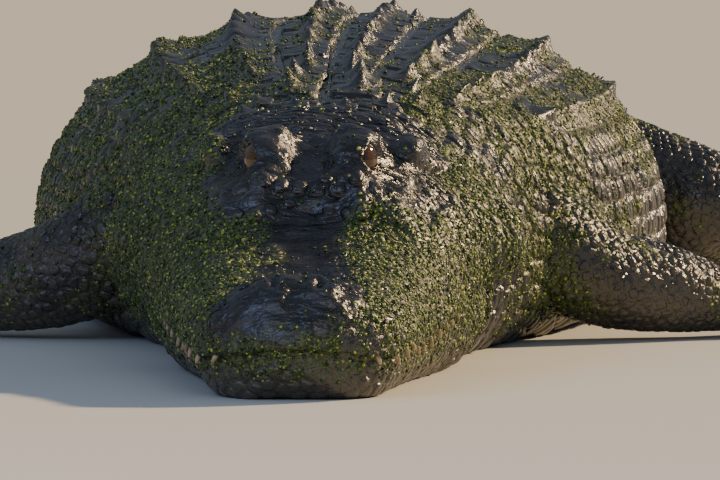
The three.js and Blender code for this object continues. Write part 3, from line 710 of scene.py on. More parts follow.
def isSmoothTop(at):
    # the bare leathery top of the head, which carries no round scales
    s, x = at[:, 1], np.abs(at[:, 0])
    inside = (x < bareHalfWidth(s) + 0.004) & (s < 0.345)
    inside &= at[:, 2] > keyed(head["rows"], np.clip(s, 0, 0.5))[:, 1] - 0.035
    dome = (np.hypot(x - 0.040, s - 0.316) < 0.036) & (at[:, 2] > 0.155)
    flap = (np.hypot(x - 0.084, (s - 0.384) * 0.5) < 0.019) & (at[:, 2] > earFlap["slitHeight"])
    return inside | dome | flap


def headScaleSize(at):
    s, x, z = at[:, 1], np.abs(at[:, 0]), at[:, 2]
    size = np.full(len(at), scaling["snout"])
    low = 1 - smoothStep(z, 0.04, 0.075)
    size += (scaling["jaw"] - size) * low
    size += (scaling["nose"] - size) * (1 - smoothStep(s, 0.06, 0.085)) * smoothStep(z, 0.06, 0.08)
    size += (scaling["jowl"] - size) * smoothStep(s, 0.33, 0.40) * (1 - smoothStep(z, 0.15, 0.17))
    size += (scaling["roof"] - size) * smoothStep(s, 0.35, 0.37) * smoothStep(z, 0.185, 0.195)
    size += (scaling["neck"] - size) * smoothStep(s, 0.45, 0.5)
    apart = np.sqrt((x - 0.05) ** 2 + (s - 0.312) ** 2 + (z - 0.185) ** 2)
    return size + (scaling["lid"] - size) * (1 - smoothStep(apart, 0.035, 0.055))


def scatterOn(mesh, keep, count):
    # random points over the faces, where keep gives how thickly they lie at each place
    corners = coordinates(mesh)[cornersOf(mesh)]
    weight = keep(corners.mean(axis=1) - origin)
    ahead, across = corners[:, 1] - corners[:, 0], corners[:, 2] - corners[:, 0]
    total = np.cumsum(np.linalg.norm(np.cross(ahead, across), axis=1) / 2 * weight)
    drawn = np.searchsorted(total, random.random(count) * total[-1])
    chosen = corners[np.minimum(drawn, len(corners) - 1)]
    a, b = random.random((2, count))
    over = a + b > 1
    a, b = np.where(over, 1 - a, a)[:, None], np.where(over, 1 - b, b)[:, None]
    return chosen[:, 0] + a * (chosen[:, 1] - chosen[:, 0]) + b * (chosen[:, 2] - chosen[:, 0])


def thinned(points, size, crowding):
    # drops each point that lies too near an earlier one
    points, size = points.tolist(), size.tolist()
    cell = max(size)
    grid, kept = {}, []
    for index, (point, own) in enumerate(zip(points, size)):
        key = tuple(math.floor(v / cell) for v in point)
        cells = itertools.product(*((k - 1, k, k + 1) for k in key))
        near = (other for place in cells for other in grid.get(place, ()))
        if all(math.dist(points[n], point) >= crowding * (own + size[n]) / 2 for n in near):
            grid.setdefault(key, []).append(index)
            kept.append(index)
    return np.array(kept)


def trunkSeeds():
    # rows of scales across the flanks, the belly's edge and the tail, below the plates of the back
    points, sizes = [], []
    turns = np.linspace(0, math.pi, 240)
    stations = list(np.arange(0.50, trunk["torsoEnd"], scaling["flankPitch"]))
    for n in range(plates["whorls"]):
        middle = (whorlStart(n) + whorlStart(n + 1)) / 2
        quarter = (whorlStart(n + 1) - whorlStart(n)) / 4
        stations += [middle - quarter, middle + quarter]
    for s in stations:
        place = trunkPoints(np.full(len(turns), s), turns)
        run = np.concatenate([[0], np.cumsum(np.linalg.norm(np.diff(place, axis=0), axis=1))])
        first = np.interp(plateEdge(s), turns, run)
        across = scaling["flankHigh"]
        if s > trunk["torsoEnd"]:
            across = scaling["tailHigh"] * min(1, 0.4 + 0.6 * (trunk["length"] - s) / 1.6)
        steps = np.arange(first + across * 0.5, run[-1], across)
        steps = steps + random.normal(0, 0.06 * across, len(steps))
        at = np.interp(steps, run, turns)
        for hand in (1, -1):
            shift = random.normal(0, 0.05 * scaling["flankPitch"], len(at))
            spot = trunkPoints(s + shift, hand * at)
            above = spot[:, 2] > 0.005
            points.append(spot[above])
            sizes.append(np.full(above.sum(), across))
    return np.vstack(points), np.concatenate(sizes)


def legSeeds():
    points, sizes = [], []
    for hand in hands.values():
        for which in ("fore", "hind"):
            # a form, where its places begin and end, how many along it and round it, and their kind
            forms = [(part, 0.02, 60, 48, "leg") for part in legParts(which, hand)]
            forms += [(line, 0.1, 26, 14, "toe") for line, _ in toeLines(which, hand)]
            for rows, begin, along, around, kind in forms:
                angles = np.linspace(0, 2 * math.pi, around, endpoint=False)
                share, angle = np.meshgrid(np.linspace(begin, 0.98, along), angles)
                points.append(limbPlace(rows)(share.ravel(), angle.ravel()))
                sizes.append(np.full(share.size, scaling[kind]))
    points, sizes = np.vstack(points), np.concatenate(sizes)
    order = random.permutation(len(points))
    points, sizes = points[order], sizes[order]
    # the scales are finer from the wrists and ankles on
    ends = [legRows(which, hand)[-1, :2] for which in ("fore", "hind") for hand in hands.values()]
    near = np.min([np.linalg.norm(points[:, :2] - origin[:2] - end, axis=1) for end in ends], axis=0)
    sizes = sizes + (scaling["hand"] - sizes) * (1 - smoothStep(near, 0.05, 0.12)) * (sizes > 0.01)
    above = points[:, 2] > 0.004
    return points[above], sizes[above]


def allSeeds():
    tries = scatterOn(skin.data, lambda at: (at[:, 1] < 0.52) * (at[:, 2] > 0.004), scaling["headTries"])
    triedSizes = headScaleSize(tries - origin)
    kept = thinned(stretched(tries), triedSizes, scaling["headCrowding"])
    kept = kept[~isSmoothTop(tries[kept] - origin)]
    groups = [(tries[kept], triedSizes[kept]), trunkSeeds(), legSeeds()]
    points = np.vstack([places for places, _ in groups])
    sizes = np.concatenate([own for _, own in groups])
    spot, normal = nearestOnSkin(points)
    real = np.linalg.norm(spot - points, axis=1) < 0.007
    points, normal, sizes = spot[real], normal[real], sizes[real]
    kept = thinned(points, sizes, scaling["crowding"])
    points, normal, sizes = points[kept], normal[kept], sizes[kept]
    raised = np.zeros(len(points))
    top, aboveHead = [], 0.3
    for out, s, width, high in knobs:
        for hand in hands.values():
            stray = random.normal(0, 0.0014, 2)
            top.append([origin[0] + hand * out + stray[0], origin[1] + s + stray[1], aboveHead,
                        width * random.uniform(0.8, 1.1), high * random.uniform(0.6, 1.15)])
    top = np.array(top)
    hits = [skinSurface.ray_cast(spot, (0, 0, -1))[:2] for spot in top[:, :3].tolist()]
    knobPoints, knobNormals = (np.array(found) for found in zip(*hits))
    clear = np.linalg.norm(points[:, None] - knobPoints[None], axis=2).min(axis=1) > 0.009
    points, normal = np.vstack([points[clear], knobPoints]), np.vstack([normal[clear], knobNormals])
    sizes, raised = np.concatenate([sizes[clear], top[:, 3]]), np.concatenate([raised[clear], top[:, 4]])
    # the head's scales push one another to even spacing
    for _ in range(3):
        free = ((points - origin)[:, 1] < 0.5) & (raised == 0)
        near = neighboursOf(points, 7)
        gap = points[near] - points[:, None]
        far = np.linalg.norm(gap, axis=2)
        press = np.clip(1 - far / (0.55 * (sizes[near] + sizes[:, None])), 0, 1)
        push = (press[:, :, None] * gap / far[:, :, None]).sum(axis=1)
        points = points - np.where(free[:, None], 0.5 * sizes[:, None] * push, 0)
        points, normal = nearestOnSkin(points)
    return points, normal, sizes, raised


def frameOf(normals):
    # two directions that lie in the surface, the first as near as can be to the body's length
    along = np.array([0, 1.0, 0]) - normals * normals[:, 1:2]
    flat = np.linalg.norm(along, axis=1) < 0.15
    along[flat] = np.array([0, 0, 1.0]) - normals[flat] * normals[flat, 2:3]
    along /= np.linalg.norm(along, axis=1)[:, None]
    return along, np.cross(normals, along)


# The height below which no corner of the coat goes, and the reach of each small shape on the flat map.
coat = {"lowest": 0.0003, "mapReach": 0.0015}


def meshPiece(name, points, faces, uvs, material, values):
    # faces as an array of corners; uvs for each point; values are named numbers for each point
    mesh = bpy.data.meshes.new(name)
    mesh.vertices.add(len(points))
    points = points.copy()
    points[:, 2] = np.maximum(points[:, 2], coat["lowest"])
    mesh.vertices.foreach_set("co", np.asarray(points, np.float32).ravel())
    corners = faces.shape[1]
    mesh.loops.add(faces.size)
    mesh.loops.foreach_set("vertex_index", faces.ravel().astype(np.int32))
    mesh.polygons.add(len(faces))
    mesh.polygons.foreach_set("loop_start", np.arange(0, faces.size, corners, dtype=np.int32))
    mesh.update(calc_edges=True)
    layer = mesh.uv_layers.new(name="OFBake")
    layer.uv.foreach_set("vector", np.asarray(uvs[faces.ravel()], np.float32).ravel())
    for key, numbers in values.items():
        setAttribute(mesh, key, numbers)
    mesh.materials.append(material)
    mesh.shade_smooth()
    piece = addToScene(name, mesh)
    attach(piece, "root")
    return piece


def sharedOut(name, clouds, pattern, uvs, order, each, material, tint, marks):
    # many small shapes of one pattern of faces, as pieces of so many shapes each
    pieces = []
    count = clouds.shape[1]
    for number, begin in enumerate(range(0, len(order), each), 1):
        chosen = order[begin:begin + each]
        cloud = clouds[chosen].reshape(-1, 3)
        faces = (np.arange(len(chosen)) * count)[:, None, None] + pattern
        values = {key: mark(cloud - origin) for key, mark in marks.items()}
        values["tint"] = np.repeat(tint[chosen], count)
        places = uvs[chosen].reshape(-1, 2)
        pieces.append(meshPiece(f"{name}_{number}", cloud, faces.reshape(-1, 3), places, material, values))
    return pieces


def circle(count):
    angles = np.arange(count) * 2 * math.pi / count
    return np.stack([np.cos(angles), np.sin(angles)], axis=1)


def buildScales(points, normals, sizes, raised, material):
    k, rings = scaling["directions"], scaling["rings"]
    isKnob = raised > 0
    near = neighboursOf(stretched(points), scaling["neighbours"])
    along, across = frameOf(normals)
    gap = points[near] - points[:, None]
    stretch = stretchAt((points - origin)[:, 1])[:, None]
    flatX, flatY = (gap * along[:, None]).sum(2) * stretch, (gap * across[:, None]).sum(2)
    # a scale reaches half way to its neighbours in each direction
    way = circle(k).T
    ahead = flatX[:, :, None] * way[0] + flatY[:, :, None] * way[1]
    deep = (gap * normals[:, None]).sum(2)
    apart = (flatX ** 2 + flatY ** 2 + deep ** 2)[:, :, None] / 2
    reach = np.where(ahead > 1e-5, apart / np.maximum(ahead, 1e-5), 9).min(axis=1)
    limit = np.where(isKnob, 0.62, 0.78) * sizes
    reach = np.minimum(reach - scaling["gap"] * ~isKnob[:, None], limit[:, None])
    reach = np.maximum(reach, 0.0012)
    uneven = random.uniform(0.74, 1.0, reach.shape)
    uneven = (uneven + np.roll(uneven, 1, axis=1) + np.roll(uneven, -1, axis=1)) / 3
    reach = np.where(isKnob[:, None], reach * uneven, reach)
    at = points - origin
    s, side, _ = mapped(at)
    onHead = 1 - smoothStep(s, 0.44, 0.60)
    onLeg = smoothStep(np.abs(side) - trunkHalfWidth(s), 0.0, 0.05)
    high = scaling["high"] - scaling["lowerOnHead"] * onHead - scaling["lowerOnLeg"] * onLeg
    high = sizes * high * random.uniform(0.6, 1.35, len(sizes))
    high = np.where(isKnob, raised, high)
    tops, heights = [points[:, None]], [[1.0]]
    for share, height in rings:
        flat = points[:, None] + along[:, None] * (way[0] * reach * share / stretch)[:, :, None]
        tops.append(flat + across[:, None] * (way[1] * reach * share)[:, :, None])
        heights.append([height] * k)
    tops, heights = np.concatenate(tops, axis=1), np.concatenate(heights)
    spot, normal = (found.reshape(tops.shape) for found in nearestOnSkin(tops.reshape(-1, 3)))
    normal = normal * 0.5 + normals[:, None] * 0.5
    normal /= np.linalg.norm(normal, axis=2)[:, :, None]
    lift = high[:, None] * heights[None]
    lift[:, 1:1 + k] = -scaling["sunk"]
    pattern = []
    for j in range(k):
        following = (j + 1) % k
        for outer in range(1, 1 + (len(rings) - 1) * k, k):
            inner = outer + k
            pattern.append([outer + j, outer + following, inner + following])
            pattern.append([outer + j, inner + following, inner + j])
        pattern.append([inner + j, inner + following, 0])
    patch = np.concatenate([[[0, 0]]] + [way.T * share for share, _ in rings]) * coat["mapReach"]
    return sharedOut(
        "scales", spot + normal * lift[:, :, None], np.array(pattern), unwrapped(at)[:, None] + patch,
        np.argsort(s), scaling["triangles"] // len(pattern), material, random.random(len(points)),
        {"algae": algaeAndFoldShade, "pale": paleOn},
    )


plates = {
    # the back: rows from the first station on; a column's turns, the turn of its keel, the keel's height
    "rowStart": 0.700, "pitch": 0.060, "rows": 19, "gap": 0.0022, "thick": 0.0032, "vary": 0.30,
    "columns": [
        [0.6, 11.0, 4.8, 0.0135], [11.8, 26.0, 19.0, 0.0135], [27.0, 42.8, 34.7, 0.0125],
        [43.8, 60.2, 52.2, 0.0095],
    ],
    # the first and the last row that have a plate in the outer column
    "outerRows": (2, 15),
    # the nape: station, side, length, width, height of the keel
    "nape": [
        [0.604, 0.027, 0.062, 0.046, 0.019], [0.606, 0.074, 0.050, 0.038, 0.013],
        [0.664, 0.025, 0.058, 0.044, 0.017], [0.660, 0.070, 0.044, 0.034, 0.010],
        [0.552, 0.052, 0.034, 0.026, 0.008], [0.514, 0.020, 0.026, 0.024, 0.006],
        [0.516, 0.062, 0.026, 0.026, 0.006],
    ],
    "napeThick": 0.005,
    # the tail: whorls with two blades, then with one; each whorl's length against the one before
    "whorls": 38, "merge": 14, "shrink": 0.986, "whorlGap": 0.002, "tailThick": 0.0026,
    # heights of the blades: the first and last pair, the first single one, the last one
    "crest": [0.013, 0.027, 0.038, 0.007],
    # one plate: width and sharpness of its keel, where it peaks, how far it leans back, how round the
    # corners are, how deep the edge is sunk, and where its points lie, in half its width and in its length
    "keelAcross": 0.24, "keelSharp": 1.8, "peak": 0.42, "lean": 0.12, "rounding": 0.12, "sunk": 0.0025,
    "gridAcross": np.array([0, 0.035, 0.08, 0.14, 0.22, 0.34, 0.5, 0.7, 0.92, 1.0]),
    "gridAlong": np.array([-1, -0.93, -0.75, -0.5, -0.25, 0, 0.2, 0.38, 0.5, 0.6, 0.7, 0.82, 0.93, 1.0]),
    # where the plates end and the small scales begin: station, turn in degrees
    "edge": np.array([
        [0.47, 2.0], [0.60, 2.0], [0.70, 40.0], [0.82, 50.0], [0.90, 61.0], [1.60, 61.0], [1.78, 50.0],
        [1.90, 36.0], [2.3, 34.0], [2.6, 30.0], [3.5, 20.0],
    ]),
}


def whorlStart(n):
    shrink = plates["shrink"]
    first = (trunk["length"] - trunk["torsoEnd"]) * (1 - shrink) / (1 - shrink ** plates["whorls"])
    return trunk["torsoEnd"] + first * (1 - shrink ** n) / (1 - shrink)


def plateEdge(s):
    return math.radians(float(np.interp(s, plates["edge"][:, 0], plates["edge"][:, 1])))


def plateGrid():
    across = np.concatenate([-plates["gridAcross"][:0:-1], plates["gridAcross"]])
    along = plates["gridAlong"]
    a, b = np.meshgrid(across, along)
    wide = len(across)
    faces = []
    for j in range(len(along) - 1):
        for i in range(wide - 1):
            first = j * wide + i
            faces.append([first, first + 1, first + wide + 1])
            faces.append([first, first + wide + 1, first + wide])
    return a.ravel(), b.ravel(), np.array(faces)


def plateShape(stations, turns, keelTurn, keel, thick, sharpness=1.0, blunt=1.0):
    # a grid of points for one plate of the back, between two stations and two turns
    a, b, _ = plateGrid()
    rounding = plates["rounding"]
    edge = (np.abs(a) > 0.999) | (np.abs(b) > 0.999)
    middle, half = (turns[0] + turns[1]) / 2, (turns[1] - turns[0]) / 2
    # the grid is dense where the keel runs, and the plate's corners are drawn in
    offset = np.clip((keelTurn - middle) / half, -0.5, 0.5)
    turn = middle + half * (a * (1 - rounding * b ** 4) + offset * (1 - a * a))
    s = (stations[0] + stations[1]) / 2 + (stations[1] - stations[0]) / 2 * b * (1 - rounding * a ** 4)
    rise = smoothStep(b, -0.95, plates["peak"]) ** 1.6 * (1 - smoothStep(b, plates["peak"] + 0.08, 0.97))
    reach = np.abs(a) / (plates["keelAcross"] * blunt / sharpness)
    ridge = 0.74 * np.exp(-reach ** plates["keelSharp"]) + 0.26 * np.exp(-(a / 0.55) ** 2)
    height = thick + keel * ridge * (0.14 + 0.86 * rise) * (1 - np.abs(b) ** 10)
    height = np.where(edge, -plates["sunk"], height)
    lean = plates["lean"] * np.maximum(0, height - thick)
    return trunkPoints(np.minimum(s + lean, trunk["length"] - 0.002), turn, height)


def buildPlates(material):
    shapes, tints = [], []

    def add(*values, **more):
        shapes.append(plateShape(*values, **more))
        tints.append(random.random())

    for row in range(plates["rows"]):
        s = plates["rowStart"] + row * plates["pitch"]
        span = np.array([s, s + plates["pitch"] - plates["gap"]])
        for number, (first, last, keelAt, keel) in enumerate(plates["columns"]):
            outermost = number == len(plates["columns"]) - 1
            if outermost and not plates["outerRows"][0] <= row <= plates["outerRows"][1]:
                continue
            for hand in (1, -1):
                vary = random.uniform(1 - plates["vary"], 1 + plates["vary"], 3)
                shift = random.normal(0, 0.0016)
                turns = np.radians([first, last]) * hand + math.radians(random.normal(0, 0.25))
                keelTurn, thick = math.radians(keelAt) * hand, plates["thick"] * vary[1]
                add(span + shift, turns, keelTurn, keel * vary[0], thick, blunt=vary[2])
    for s, side, length, width, keel in plates["nape"]:
        sample = np.linspace(0, 1.5, 200)
        section = keyed(trunk["rows"], np.full(len(sample), s))
        reach = outline(section, trunk["backSquareness"], sample)[0]
        for hand in (1, -1):
            turns = np.interp([side - width / 2, side + width / 2], reach, sample) * hand
            span = np.array([s - length / 2, s + length / 2])
            add(span, turns, turns.mean(), keel * random.uniform(0.85, 1.15), plates["napeThick"])
    low, double, single, last = plates["crest"]
    for n in range(plates["whorls"]):
        span = np.array([whorlStart(n), whorlStart(n + 1) - plates["whorlGap"]])
        thick = plates["tailThick"] * (1 - 0.6 * n / plates["whorls"])
        if n < plates["merge"]:
            keel = low + (double - low) * n / (plates["merge"] - 1)
            for hand in (1, -1):
                turns, keelTurn = np.radians([0.8, 33]) * hand, math.radians(15) * hand
                add(span, turns, keelTurn, keel * random.uniform(0.9, 1.1), thick, sharpness=1.25)
        else:
            share = (n - plates["merge"]) / (plates["whorls"] - 1 - plates["merge"])
            keel = last + (single - last) * (1 - share) ** 0.85
            add(span, np.radians([-30, 30]), 0.0, keel * random.uniform(0.92, 1.08), thick, sharpness=1.6)
    pattern = plateGrid()[2]
    each = len(shapes[0])
    cloud = np.vstack(shapes)
    grain = noise(cloud, 0.009, 11) * 0.0013 + noise(cloud, 0.0035, 12) * 0.0005
    cloud[:, 2] += grain
    faces = []
    for number, shape in enumerate(shapes):
        # each plate's corners are put in the order that faces out
        a, b, c = shape[pattern[len(pattern) // 2]]
        outward = np.cross(b - a, c - a)[2] > 0
        faces.append((pattern if outward else pattern[:, ::-1]) + number * each)
    at = cloud - origin
    values = {"algae": algaeAndFoldShade(at) * 0.7, "pale": paleOn(at), "tint": np.repeat(tints, each)}
    return meshPiece("back_plates", cloud, np.vstack(faces), unwrapped(at), material, values)


flecks = {
    # how many are tried, the least and the greatest reach of one
    "count": 60000, "reach": (0.0008, 0.0023),
    # thickness as a share of the reach, how far they tilt, corners, how many to a piece
    "thick": 0.35, "tilt": 0.35, "corners": 5, "each": 19000,
    # how thickly they lie where no algae grow
    "stray": 0.045,
}


def fleckWeight(at):
    s = mapped(at)[0]
    weight = algaeAndFoldShade(at) ** 1.5 + flecks["stray"] * smoothStep(at[:, 2], 0.05, 0.1)
    return weight * (1.5 - 0.6 * smoothStep(s, 0.5, 1.0) - 0.5 * smoothStep(s, 1.3, 1.9))


def buildFlecks(surface, material):
    # duckweed and scraps of algae, each a small closed lens lying on the scales
    roots = scatterOn(skin.data, fleckWeight, flecks["count"])
    spot, normal = nearestOnSkin(roots)
    # each is dropped on the coat from a little way out
    outer = spot + normal * 0.03
    placed, facing = [], []
    for point, back in zip(outer.tolist(), (-normal).tolist()):
        hit, up, _, _ = surface.ray_cast(point, back, 0.05)
        if hit is not None:
            placed.append(hit)
            facing.append(up)
    placed, facing = np.array(placed), np.array(facing)
    count = len(placed)
    facing = facing + random.normal(0, flecks["tilt"], (count, 3))
    facing /= np.linalg.norm(facing, axis=1)[:, None]
    along, across = frameOf(facing)
    k = flecks["corners"]
    turn = random.random(count)[:, None] * 6.3 + np.arange(k) * 2 * math.pi / k
    low, high = flecks["reach"]
    reach = (low + (high - low) * random.random(count) ** 1.6)[:, None]
    oval = random.uniform(0.55, 1.0, count)[:, None]
    rim = along[:, None] * (np.cos(turn) * reach)[:, :, None]
    rim = rim + across[:, None] * (np.sin(turn) * reach * oval)[:, :, None]
    rim = rim * random.uniform(0.85, 1.15, (count, k))[:, :, None]
    thick = reach * flecks["thick"]
    seat = placed + facing * thick * 0.7
    tops = (seat + facing * thick)[:, None]
    under = (seat - facing * thick)[:, None]
    points = np.concatenate([tops, under, seat[:, None] + rim], axis=1)
    pattern = []
    for j in range(k):
        following = (j + 1) % k
        pattern += [[0, 2 + j, 2 + following], [1, 2 + following, 2 + j]]
    patch = np.concatenate([[[0, 0], [0, 0]], circle(k)]) * coat["mapReach"]
    sharedOut(
        "duckweed", points, np.array(pattern), unwrapped(placed - origin)[:, None] + patch,
        np.argsort(placed[:, 1]), flecks["each"], material, random.random(count), {},
    )
    print("duckweed:", count, "flecks")


def linear(code):
    # a colour written as sRGB hex, in the linear values that a material takes
    values = [int(code[k:k + 2], 16) / 255 for k in (0, 2, 4)]
    return [v / 12.92 if v <= 0.04045 else ((v + 0.055) / 1.055) ** 2.4 for v in values] + [1]


def feed(node, inputs):
    # an input is given a value, a colour as hex, or the output that feeds it
    for name, value in inputs.items():
        if isinstance(value, bpy.types.NodeSocket):
            node.id_data.links.new(value, node.inputs[name])
        else:
            node.inputs[name].default_value = linear(value) if isinstance(value, str) else value


def addNode(tree, kind, inputs=None, output=0, **settings):
    # adds a node and gives back one of its outputs
    node = tree.nodes.new("ShaderNode" + kind)
    for name, value in settings.items():
        setattr(node, name, value)
    feed(node, inputs or {})
    return node.outputs[output]


def newMaterial(name):
    material = bpy.data.materials.new(name)
    material.use_nodes = True
    return material, material.node_tree, material.node_tree.nodes["Principled BSDF"]


def cells(size):
    # the scale of a pattern whose cells are this many millimetres across
    return 1 / (size * mm)


hideFinish = {
    # the wet and dry colours are tinted blue, in part a painted reflection of the cool sky on the wet hide
    "wet": "090c12", "dry": "292a30", "flank": "5a5140", "algae": "26361a", "bright": "5d6c2a",
    # patterns in millimetres: blotches, specks, pores, lumps, and creases that run across the body in x, y, z
    "blotch": 26.316, "speck": 2.381, "pore": 3.3333, "lump": 9.5238, "crease": (18.182, 4.7619, 7.6923),
    "lumpHigh": 3.4 * mm, "poreHigh": 0.8 * mm,
}


def makeHide():
    # Wet, near-black hide under a film of algae: the eye reads soaked leather with a bluish sheen, which a
    # blue tint in its colours partly paints in as a reflection of the cool sky.
    material, tree, shader = newMaterial("wet_hide")
    look = hideFinish
    place = addNode(tree, "TexCoord", output="Object")
    algae, pale, tint = (
        addNode(tree, "Attribute", output="Fac", attribute_name=name) for name in ("algae", "pale", "tint")
    )
    broad = addNode(tree, "TexNoise", {"Vector": place, "Scale": cells(look["blotch"]), "Detail": 5}, "Fac")
    fine = addNode(tree, "TexNoise", {"Vector": place, "Scale": cells(look["speck"]), "Detail": 3}, "Fac")
    grain = addNode(tree, "TexVoronoi", {"Vector": place, "Scale": cells(look["pore"])}, "Distance")
    # the colour: wet and dry blotches, the pale flanks, and the film of algae over them
    dryness = addNode(tree, "MapRange", {0: broad, 1: 0.42, 2: 0.66})
    base = addNode(tree, "Mix", {0: dryness, 6: look["wet"], 7: look["dry"]}, 2, data_type="RGBA")
    uneven = addNode(tree, "Math", {0: tint, 1: 0.35}, operation="MULTIPLY")
    base = addNode(tree, "Mix", {0: uneven, 6: base, 7: look["dry"]}, 2, data_type="RGBA")
    base = addNode(tree, "Mix", {0: pale, 6: base, 7: look["flank"]}, 2, data_type="RGBA")
    sunlit = addNode(tree, "MapRange", {0: fine, 1: 0.4, 2: 0.65})
    green = addNode(tree, "Mix", {0: sunlit, 6: look["algae"], 7: look["bright"]}, 2, data_type="RGBA")
    cover = addNode(tree, "MapRange", {0: fine, 1: 0.42, 2: 0.6})
    film = addNode(tree, "Math", {0: algae, 1: cover}, operation="MULTIPLY")
    colour = addNode(tree, "Mix", {0: film, 6: base, 7: green}, 2, data_type="RGBA")
    # the shine: wettest where it is darkest, duller under the algae
    shine = addNode(tree, "MapRange", {0: broad, 1: 0.3, 2: 0.7, 3: 0.19, 4: 0.38})
    dull = addNode(tree, "Math", {0: film, 1: 0.38, 2: shine}, operation="MULTIPLY_ADD")
    # the relief: lumps and creases, with pores in them
    drawn = addNode(tree, "Mapping", {"Vector": place, "Scale": [cells(size) for size in look["crease"]]})
    crease = addNode(tree, "TexNoise", {"Vector": drawn, "Scale": 1, "Detail": 3, "Distortion": 0.6}, "Fac")
    lumps = addNode(tree, "TexVoronoi", {"Vector": place, "Scale": cells(look["lump"])}, "Distance",
                    feature="SMOOTH_F1")
    coarse = addNode(tree, "Math", {0: lumps, 1: -0.5, 2: crease}, operation="MULTIPLY_ADD")
    small = addNode(tree, "Math", {0: grain, 1: fine}, operation="ADD")
    bump = addNode(tree, "Bump", {"Height": coarse, "Strength": 1.0, "Distance": look["lumpHigh"]})
    finer = {"Height": small, "Strength": 0.4, "Distance": look["poreHigh"], "Normal": bump}
    bump = addNode(tree, "Bump", finer)
    feed(shader, {
        "Base Color": colour, "Roughness": dull, "Normal": bump, "Specular IOR Level": 0.7,
        "Coat Weight": 0.12, "Coat Roughness": 0.2,
    })
    return material


def makeWeed():
    # Duckweed and algae: small wet leaves from dark moss green to a sunlit yellow-green.
    material, tree, shader = newMaterial("duckweed_leaf")
    ramp = addNode(tree, "ValToRGB", {0: addNode(tree, "Attribute", output="Fac", attribute_name="tint")})
    stops = ramp.node.color_ramp.elements
    stops[0].color, stops[1].color = linear("1a2b0c"), linear("b7bf5a")
    for place, colour in ((0.4, "34511a"), (0.75, "6b8228")):
        stops.new(place).color = linear(colour)
    feed(shader, {"Base Color": ramp, "Roughness": 0.4})
    return material


def makeEyeball():
    # Amber-brown iris with a tall slit of a pupil under a wet cornea: small, bright and alive.
    material, tree, shader = newMaterial("wet_eye")
    place = addNode(tree, "TexCoord", output="UV")
    wide = addNode(tree, "Math", {0: addNode(tree, "SeparateXYZ", {0: place})}, operation="ABSOLUTE")
    # the map's unit is the ball's radius
    perRadius = eyes["radius"] * cells(eyes["ray"])
    rays = addNode(tree, "TexNoise", {"Vector": place, "Scale": perRadius, "Detail": 4}, "Fac")
    inRay = addNode(tree, "MapRange", {0: rays, 1: 0.35, 2: 0.65})
    dark, light = eyes["iris"]
    iris = addNode(tree, "Mix", {0: inRay, 6: dark, 7: light}, 2, data_type="RGBA")
    away = addNode(tree, "VectorMath", {0: place}, "Value", operation="LENGTH")
    atEdge = addNode(tree, "MapRange", {0: away, 1: 0.55, 2: 0.85})
    iris = addNode(tree, "Mix", {0: atEdge, 6: iris, 7: eyes["irisEdge"]}, 2, data_type="RGBA")
    besideSlit = addNode(tree, "MapRange", {0: wide, 1: 0.05, 2: 0.09})
    colour = addNode(tree, "Mix", {0: besideSlit, 6: eyes["pupil"], 7: iris}, 2, data_type="RGBA")
    feed(shader, {"Base Color": colour, "Roughness": 0.08, "Coat Weight": 0.4, "Coat Roughness": 0.02})
    return material


def makeStained(name, size, dark, light, roughness):
    # a finish of two colours in stains of this many millimetres
    material, tree, shader = newMaterial(name)
    place = addNode(tree, "TexCoord", output="Object")
    stain = addNode(tree, "TexNoise", {"Vector": place, "Scale": cells(size), "Detail": 4}, "Fac")
    share = addNode(tree, "MapRange", {0: stain, 1: 0.4, 2: 0.7})
    colour = addNode(tree, "Mix", {0: share, 6: dark, 7: light}, 2, data_type="RGBA")
    feed(shader, {"Base Color": colour, "Roughness": roughness})
    return material


def newPiece(name, bm, material, *nodes, slot=None):
    mesh = bpy.data.meshes.new(name)
    bm.to_mesh(mesh)
    bm.free()
    piece = addToScene(name, mesh)
    mesh.materials.append(material)
    mesh.shade_smooth()
    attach(piece, "root")
    if nodes:
        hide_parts(*nodes)
    return piece


hide = makeHide()
skin.data.materials.append(hide)
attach(skin, "root")
fleshNodes = ["head", "lower_jaw", "neck", "torso", "tail_base", "tail_middle", "tail_tip"]
for part in ("ear", "upper_arm", "forearm", "hand", "thigh", "shank", "foot"):
    fleshNodes += [part + "_" + name for name in hands]
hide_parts(*fleshNodes)

seeds = allSeeds()
print("scales:", len(seeds[0]), "places")
scales = buildScales(*seeds, hide)
print("scales: built in", len(scales), "pieces")

backPlates = buildPlates(hide)
print("plates: built")
buildFlecks(surfaceOf(skin, backPlates, *scales), makeWeed())

eyeWet = makeEyeball()
for name, hand in hands.items():
    bm = bmesh.new()
    centre = eyeCentre(hand)
    out, across, up = eyeAxes(hand)
    bmesh.ops.create_uvsphere(bm, u_segments=48, v_segments=32, radius=eyes["radius"])
    uv = bm.loops.layers.uv.new("eye")
    for face in bm.faces:
        for loop in face.loops:
            way = np.array(loop.vert.co) / eyes["radius"]
            loop[uv].uv = (way @ across, way @ up)
    bmesh.ops.translate(bm, verts=bm.verts, vec=Vector(centre))
    newPiece("eye_ball_" + name, bm, eyeWet, "eye_" + name, slot="eye")


# The rim's half thickness, how finely it is drawn, its wrinkles, and how far it stands off the ball.
lids = {"rim": 0.0019, "corners": 72, "section": 12, "wrinkle": 0.0005, "wrinkles": 23, "clear": 0.0005}


